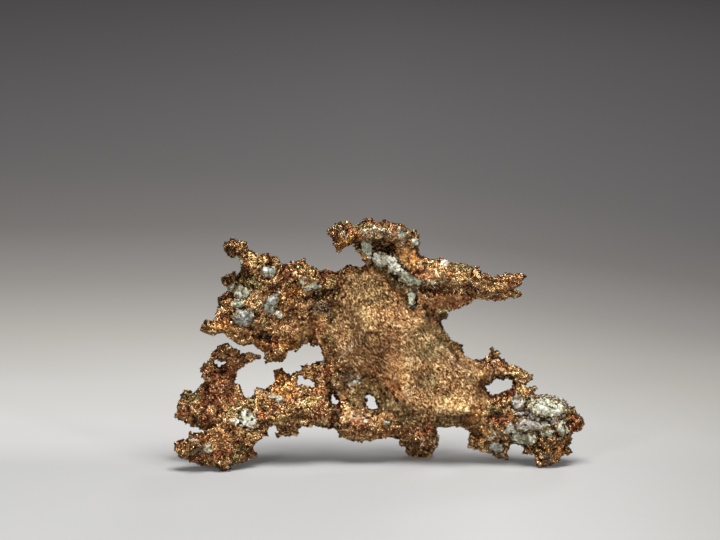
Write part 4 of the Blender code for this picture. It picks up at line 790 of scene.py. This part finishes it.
class Nodes:
    """Short calls that add the nodes of one material. Sizes are in mm."""

    def __init__(self, name):
        self.material = bpy.data.materials.new(name)
        self.material.use_nodes = True
        self.tree = self.material.node_tree
        self.shader = self.tree.nodes["Principled BSDF"]
        self.place = self.add("ShaderNodeTexCoord").outputs["Object"]

    def add(self, kind, **settings):
        node = self.tree.nodes.new(kind)
        for key, value in settings.items():
            setattr(node, key, value)
        return node

    def feed(self, socket, value):
        if isinstance(value, bpy.types.NodeSocket):
            self.tree.links.new(value, socket)
        elif socket.type == "RGBA" and isinstance(value, tuple):
            socket.default_value = (*value, 1)
        else:
            socket.default_value = value

    def read(self, name):
        return self.add("ShaderNodeAttribute", attribute_name=name).outputs["Fac"]

    def math(self, operation, a, b=0.0, clamp=False):
        node = self.add("ShaderNodeMath", operation=operation, use_clamp=clamp)
        self.feed(node.inputs[0], a)
        self.feed(node.inputs[1], b)
        return node.outputs[0]

    def total(self, *parts):
        """The sum of some values, each given with its weight."""
        sum_so_far = None
        for value, weight in parts:
            part = self.math("MULTIPLY", value, weight)
            sum_so_far = self.math("ADD", sum_so_far, part) if sum_so_far else part
        return sum_so_far

    def less(self, value, fall, top=1.0):
        """`top` where the value is 0, and lower by `fall` where it is 1."""
        return self.math("SUBTRACT", top, self.math("MULTIPLY", value, fall))

    def vector(self, operation, a, b=None):
        """One vector made from a and b, where b is a number if the operation is SCALE."""
        node = self.add("ShaderNodeVectorMath", operation=operation)
        self.feed(node.inputs[0], a)
        if b is not None:
            self.feed(node.inputs["Scale" if operation == "SCALE" else 1], b)
        return node.outputs[0]

    def noise(self, size, detail=2.0, rough=0.5, at=None, output="Fac"):
        node = self.add("ShaderNodeTexNoise")
        self.feed(node.inputs["Vector"], at or self.place)
        node.inputs["Scale"].default_value = 1 / (size * MM)
        node.inputs["Detail"].default_value = detail
        node.inputs["Roughness"].default_value = rough
        return node.outputs[output]

    def facets(self, size, tilt):
        """Crystal faces about `size` across: a random value and a tilted normal for each."""
        cells = self.add("ShaderNodeTexVoronoi")
        self.feed(cells.inputs["Vector"], self.place)
        cells.inputs["Scale"].default_value = 1 / (size * MM)
        centred = self.vector("SUBTRACT", cells.outputs["Color"], (0.5, 0.5, 0.5))
        normal = self.add("ShaderNodeNewGeometry").outputs["Normal"]
        tilted = self.vector("ADD", normal, self.vector("SCALE", centred, tilt))
        split = self.add("ShaderNodeSeparateXYZ")
        self.feed(split.inputs[0], cells.outputs["Color"])
        return split.outputs["X"], self.vector("NORMALIZE", tilted)

    def lines(self, degrees, across, along, bend):
        """Noise drawn out into bent lines that run at `degrees` on the nugget's face."""
        shift = self.vector("SCALE", self.noise(3 * along, output="Color"), bend * MM)
        turned = self.add("ShaderNodeMapping")
        self.feed(turned.inputs["Vector"], self.vector("ADD", self.place, shift))
        turned.inputs["Rotation"].default_value = (0, math.radians(degrees), 0)
        drawn = self.vector("MULTIPLY", turned.outputs[0], (across / along, 1, 1))
        return self.noise(across, 3.0, 0.65, at=drawn)

    def ramp(self, value, stops):
        """Colours, or greys, along a value: stops are (place, colour)."""
        node = self.add("ShaderNodeValToRGB")
        self.feed(node.inputs["Fac"], value)
        band = node.color_ramp
        while len(band.elements) < len(stops):
            band.elements.new(0.5)
        for element, (at, colour) in zip(band.elements, stops):
            element.position = at
            element.color = (*colour, 1) if isinstance(colour, tuple) else (colour,) * 3 + (1,)
        return node.outputs["Color"]

    def mix(self, share, a, b, blend="MIX"):
        node = self.add("ShaderNodeMix", data_type="RGBA", blend_type=blend)
        self.feed(node.inputs["Factor"], share)
        self.feed(node.inputs["A"], a)
        self.feed(node.inputs["B"], b)
        return node.outputs["Result"]

    def level(self, value, low, high):
        """A value stretched so that low becomes 0 and high becomes 1."""
        node = self.add("ShaderNodeMapRange")
        self.feed(node.inputs["Value"], value)
        node.inputs["From Min"].default_value = low
        node.inputs["From Max"].default_value = high
        return node.outputs["Result"]

    def bump(self, height, strength, distance, below=None):
        node = self.add("ShaderNodeBump")
        self.feed(node.inputs["Height"], height)
        node.inputs["Strength"].default_value = strength
        node.inputs["Distance"].default_value = distance * MM
        if below:
            self.feed(node.inputs["Normal"], below)
        return node.outputs["Normal"]

    def finish(self, **inputs):
        for name, value in inputs.items():
            self.feed(self.shader.inputs[name.replace("_", " ")], value)
        return self.material


# The dark recesses, the body and the high places of each finish, in linear light; the recesses are dark
# from patina and from painted shade, the high places bright from wear and from painted highlight.
COPPER_TONES = [(0.035, 0.011, 0.002), (0.2, 0.092, 0.03), (0.5, 0.28, 0.11), (1.0, 0.78, 0.46)]
FINISH_TONES = {
    "olive": [(0.022, 0.018, 0.005), (0.14, 0.108, 0.038), (0.5, 0.42, 0.2)],
    "grey": [(0.03, 0.024, 0.018), (0.17, 0.12, 0.085), (0.45, 0.36, 0.27)],
    "orange": [(0.06, 0.018, 0.003), (0.34, 0.13, 0.03), (0.95, 0.5, 0.15)],
    # gold, pink and pale are colours of the metal, and they also paint highlights on some ridges
    "gold": [(0.09, 0.052, 0.014), (0.5, 0.32, 0.12), (1.0, 0.84, 0.42)],
    "red": [(0.035, 0.006, 0.002), (0.2, 0.06, 0.022), (0.65, 0.28, 0.12)],
    "pink": [(0.08, 0.05, 0.028), (0.42, 0.26, 0.15), (1.0, 0.78, 0.55)],
    "pale": [(0.07, 0.045, 0.02), (0.42, 0.32, 0.18), (1.0, 0.95, 0.76)],
    # dark: painted shade
    "dark": [(0.006, 0.004, 0.003), (0.03, 0.02, 0.012), (0.1, 0.07, 0.04)],
}
MINERAL_TONES = {
    "mint": [(0.06, 0.055, 0.025), (0.37, 0.385, 0.28), (0.84, 0.88, 0.7)],
    "white": [(0.08, 0.06, 0.03), (0.52, 0.5, 0.39), (0.95, 0.95, 0.84)],
    "blue": [(0.03, 0.028, 0.018), (0.24, 0.252, 0.225), (0.62, 0.68, 0.65)],
    "lilac": [(0.04, 0.03, 0.02), (0.31, 0.275, 0.24), (0.8, 0.74, 0.69)],
}


# Stains that cover a mineral, in linear light.
VEIN_STAIN, SPECK_STAIN, RIM_STAIN = (0.12, 0.09, 0.04), (0.12, 0.085, 0.04), (0.17, 0.095, 0.036)
FACET_SIZE, FACET_TILT = 0.75, 1.05


def toned(nodes, value, tones, places=(0.12, 0.5, 0.9)):
    """A finish's colour: its dark, middle and bright tones, picked by a value from 0 to 1."""
    return nodes.ramp(value, list(zip(places, tones)))


def copper_value(nodes, calm, lines, chance):
    """How bright the metal is at each place, from 0 in the recesses to 1 on the high places, as patina and
    wear and also as painted shade and painted highlight.
    """
    fine = nodes.level(nodes.noise(0.8, 3, 0.7), 0.36, 0.64)
    broad = nodes.level(nodes.noise(6.0, 2, 0.5), 0.3, 0.7)
    rise = nodes.read("rise")
    drawn = nodes.total((nodes.math("SUBTRACT", nodes.level(lines, 0.38, 0.62), 0.5), 0.58),
                        (nodes.math("SUBTRACT", rise, 0.5), 0.15))
    # crest and rise lighten the high places and darken the recesses: partly wear and patina, partly
    # painted highlight and painted shade
    value = nodes.total((nodes.read("crest"), 0.45), (rise, 0.18), (nodes.read("tone"), 0.28),
                        # edge darkens the rim: painted shade
                        (fine, 0.34), (broad, 0.08), (chance, 0.34), (nodes.read("edge"), -0.2),
                        (drawn, calm))
    return nodes.math("SUBTRACT", value, 0.2, clamp=True)


def copper_colour(nodes, value, calm):
    """The metal's colour under its finishes, and how much of it is covered by mineral."""
    colour = toned(nodes, value, COPPER_TONES, (0.12, 0.38, 0.64, 0.9))
    rough_part = nodes.less(calm, 0.85)
    for kind, size, low, high in (("red", 5.0, 0.5, 0.66), ("olive", 6.0, 0.56, 0.7)):
        share = nodes.math("MULTIPLY", nodes.level(nodes.noise(size, 3, 0.6), low, high), rough_part)
        colour = nodes.mix(share, colour, toned(nodes, value, FINISH_TONES[kind]))
    breakup = nodes.level(nodes.noise(1.6, 2, 0.6), 0.25, 0.6)
    strength = nodes.less(calm, 0.35, 0.95)
    for kind in FINISHES:
        share = nodes.math("MULTIPLY", nodes.read(kind), breakup, clamp=True)
        tones = toned(nodes, value, FINISH_TONES[kind])
        colour = nodes.mix(nodes.math("MULTIPLY", share, strength), colour, tones)
    mineral, broken_up = 0.0, nodes.math("ADD", breakup, 0.4)
    for kind in MINERALS:
        share = nodes.level(nodes.math("MULTIPLY", nodes.read(kind), broken_up), 0.3, 0.7)
        colour = nodes.mix(share, colour, toned(nodes, value, MINERAL_TONES[kind]))
        mineral = nodes.math("MAXIMUM", mineral, share)
    return colour, mineral


def copper_material():
    nodes = Nodes("native copper")
    calm = nodes.read("calm")
    sparkle = nodes.less(calm, 0.55)
    chance, tilted = nodes.facets(FACET_SIZE, nodes.math("MULTIPLY", sparkle, FACET_TILT))
    chance = nodes.math("MULTIPLY", nodes.math("SUBTRACT", chance, 0.5), sparkle)
    lines = nodes.lines(PLATE_GRAIN, 0.42, 1.7, 4.0)
    colour, mineral = copper_colour(nodes, copper_value(nodes, calm, lines, chance), calm)
    metallic = nodes.math("SUBTRACT", 0.95, nodes.math("MULTIPLY", mineral, 0.95), clamp=True)
    rough = nodes.total((nodes.noise(1.4, 2, 0.6), 0.25), (calm, 0.12), (mineral, 0.25))
    grit = nodes.math("ADD", nodes.noise(0.6, 4, 0.75), nodes.math("MULTIPLY", lines, calm))
    normal = nodes.bump(grit, 0.9, 0.3, tilted)
    return nodes.finish(Base_Color=colour, Metallic=metallic, Roughness=nodes.math("ADD", rough, 0.12),
                        Normal=normal, Coat_Weight=0.15, Coat_Roughness=0.1, Coat_Normal=normal)


def mineral_material(name, ground, specked):
    """A matrix mineral: `ground` shows where no patch lies, and `specked` is how dark its specks are."""
    nodes = Nodes(name)
    fine = nodes.noise(0.8, 3, 0.6)
    marbling = nodes.level(nodes.noise(2.4, 4, 0.65), 0.36, 0.64)
    # rise makes the raised blocks lighter and the cracks between them darker: painted highlight and
    # painted shade
    value = nodes.total((nodes.read("rise"), 0.4), (nodes.read("tone"), 0.25),
                        (nodes.level(fine, 0.3, 0.7), 0.3), (nodes.read("white"), 0.15), (marbling, 0.55))
    value = nodes.math("SUBTRACT", value, 0.2, clamp=True)
    colour = toned(nodes, value, MINERAL_TONES[ground])
    for kind in MINERALS:
        colour = nodes.mix(nodes.read(kind), colour, toned(nodes, value, MINERAL_TONES[kind]))
    split = nodes.math("ABSOLUTE", nodes.math("SUBTRACT", nodes.noise(3.4, 4, 0.65), 0.5))
    veins = nodes.math("MULTIPLY", nodes.level(split, 0.03, 0.006), 0.7)
    specks = nodes.math("MULTIPLY", nodes.level(nodes.noise(1.3, 3, 0.65), 0.56, 0.64), specked)
    ragged = nodes.total((nodes.read("rim"), 1.0), (nodes.noise(2.0, 3, 0.6), 1.1))
    rim = nodes.level(ragged, 1.38, 1.52)
    for share, stain in ((veins, VEIN_STAIN), (specks, SPECK_STAIN), (rim, RIM_STAIN)):
        colour = nodes.mix(share, colour, stain)
    rough = nodes.math("ADD", 0.48, nodes.math("MULTIPLY", fine, 0.3))
    normal = nodes.bump(nodes.noise(0.45, 3, 0.7), 0.5, 0.14)
    return nodes.finish(Base_Color=colour, Roughness=rough, Normal=normal)


# The floor's tones, by how far a place lies behind the nugget or beside it, in metres: a painted fall-off
# of light, darker further back and to the right.
FLOOR_PAINTED_FALLOFF = [
    (0.0, (0.347, 0.345, 0.342)), (0.04, (0.407, 0.402, 0.396)), (0.08, (0.422, 0.416, 0.408)),
    (0.15, (0.416, 0.407, 0.39)), (0.26, (0.322, 0.308, 0.287)), (0.37, (0.225, 0.213, 0.201)),
    (0.5, (0.152, 0.142, 0.136)), (0.65, (0.129, 0.121, 0.122)), (1.0, (0.117, 0.11, 0.114)),
]
# How fast it darkens to the right, in tenths of its tone for each metre, by how far back a place lies:
# painted shade.
FLOOR_PAINTED_SIDE_SHADE = [(0.0, 0.24), (0.2, 0.08), (0.45, 0.19)]


def floor_material():
    nodes = Nodes("pale floor")
    place = nodes.add("ShaderNodeSeparateXYZ")
    nodes.feed(place.inputs[0], nodes.place)
    aside = nodes.math("MAXIMUM", place.outputs["X"], 0.0)
    back = nodes.math("MAXIMUM", place.outputs["Y"], 0.0)
    far = nodes.math("ADD", back, nodes.math("MULTIPLY", aside, 0.95))
    side_shade = nodes.math("MULTIPLY", nodes.ramp(back, FLOOR_PAINTED_SIDE_SHADE), 10.0)
    # the floor's colour is darkened behind and to the right: painted fall-off of light and painted shade
    colour = nodes.mix(1.0, nodes.ramp(far, FLOOR_PAINTED_FALLOFF), nodes.less(aside, side_shade), "MULTIPLY")
    return nodes.finish(Base_Color=colour, Roughness=0.8, Specular_IOR_Level=0.1)


# ---------------- floor, lights and camera

LENS, SENSOR = 350.0, 36.0
IMAGE_WIDTH, IMAGE_HEIGHT = 720, 540
PIXEL = 0.365 * MM  # what one pixel of the picture spans at the nugget
DISTANCE = PIXEL * IMAGE_WIDTH * LENS / SENSOR
AIM_POINT = (0.0, 46.0, 0.0)  # the place on the face that is seen at AIM_PIXEL
AIM_PIXEL = (379, 345)


def make_floor():
    bpy.ops.mesh.primitive_plane_add(size=8)
    floor = bpy.context.object
    floor.name = "floor"
    floor.data.materials.append(floor_material())


def make_light(name, place, size, power, colour=(1, 1, 1), target=(0, 0, 0.04)):
    light = bpy.data.lights.new(name, "AREA")
    light.shape = "RECTANGLE"
    light.size, light.size_y = size
    light.energy = power
    light.color = colour
    lamp = bpy.data.objects.new(name, light)
    lamp.location = place
    lamp.rotation_euler = (Vector(target) - Vector(place)).to_track_quat("-Z", "Y").to_euler()
    bpy.context.scene.collection.objects.link(lamp)


def make_camera():
    target = from_face(*AIM_POINT)
    forward = Vector((0, math.cos(LEAN), -math.sin(LEAN)))
    up = Vector((0, math.sin(LEAN), math.cos(LEAN)))
    aside = (AIM_PIXEL[0] - IMAGE_WIDTH / 2) * PIXEL
    below = (AIM_PIXEL[1] - IMAGE_HEIGHT / 2) * PIXEL
    place = target - forward * DISTANCE
    aim = target - Vector((aside, 0, 0)) + up * below
    data = bpy.data.cameras.new("camera")
    data.lens = LENS
    data.sensor_width = SENSOR
    data.clip_start = 0.01
    camera = bpy.data.objects.new("camera", data)
    camera.location = place
    camera.rotation_euler = (aim - place).to_track_quat("-Z", "Y").to_euler()
    bpy.context.scene.collection.objects.link(camera)
    bpy.context.scene.camera = camera


def make_world(level):
    world = bpy.data.worlds.new("studio")
    world.use_nodes = True
    world.node_tree.nodes["Background"].inputs["Color"].default_value = (1.0, 1.0, 1.0, 1)
    world.node_tree.nodes["Background"].inputs["Strength"].default_value = level
    bpy.context.scene.world = world


# ---------------- the whole

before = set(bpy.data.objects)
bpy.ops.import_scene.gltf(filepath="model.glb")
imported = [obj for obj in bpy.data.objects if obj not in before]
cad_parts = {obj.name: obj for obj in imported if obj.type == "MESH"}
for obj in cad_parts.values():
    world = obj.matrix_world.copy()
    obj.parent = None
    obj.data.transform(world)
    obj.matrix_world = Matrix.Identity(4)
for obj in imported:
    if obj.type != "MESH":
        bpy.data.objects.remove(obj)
cad_box = [list(corner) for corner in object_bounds()]

make_floor()
make_world(0.1)
make_light("key", (0.12, -0.32, 1.12), (0.75, 0.65), 23.5)
make_light("front_left", (-0.6, -1.2, 0.45), (0.2, 0.25), 7.0, (1.0, 0.98, 0.94))
make_light("front_right", (0.75, -1.0, 0.4), (0.2, 0.25), 5.3)
make_light("behind", (0.35, 1.1, 0.6), (0.3, 0.3), 3.0)
make_camera()
bpy.context.scene.view_settings.view_transform = "Standard"

copper = copper_material()
skin = make_skin()
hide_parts("copper_mass")
pale = mineral_material("pale matrix", "mint", 0.6)
grey = mineral_material("grey matrix", "blue", 0.85)
lumps = []
for node in sorted(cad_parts):
    if node.startswith("matrix_"):
        lump = make_lump(node, "fine_" + node)
        lump.data.materials.append(grey if node in GREY_LUMPS else pale)
        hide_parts(node)
        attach(lump, "root")
        lumps.append(lump)
for piece in [skin, make_teeth(skin), make_flecks(lumps)] + make_copper_grains(skin):
    piece.data.materials.append(copper)
    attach(piece, "root")
for piece in make_crust(skin, lumps):
    piece.data.materials.append(pale)
    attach(piece, "root")
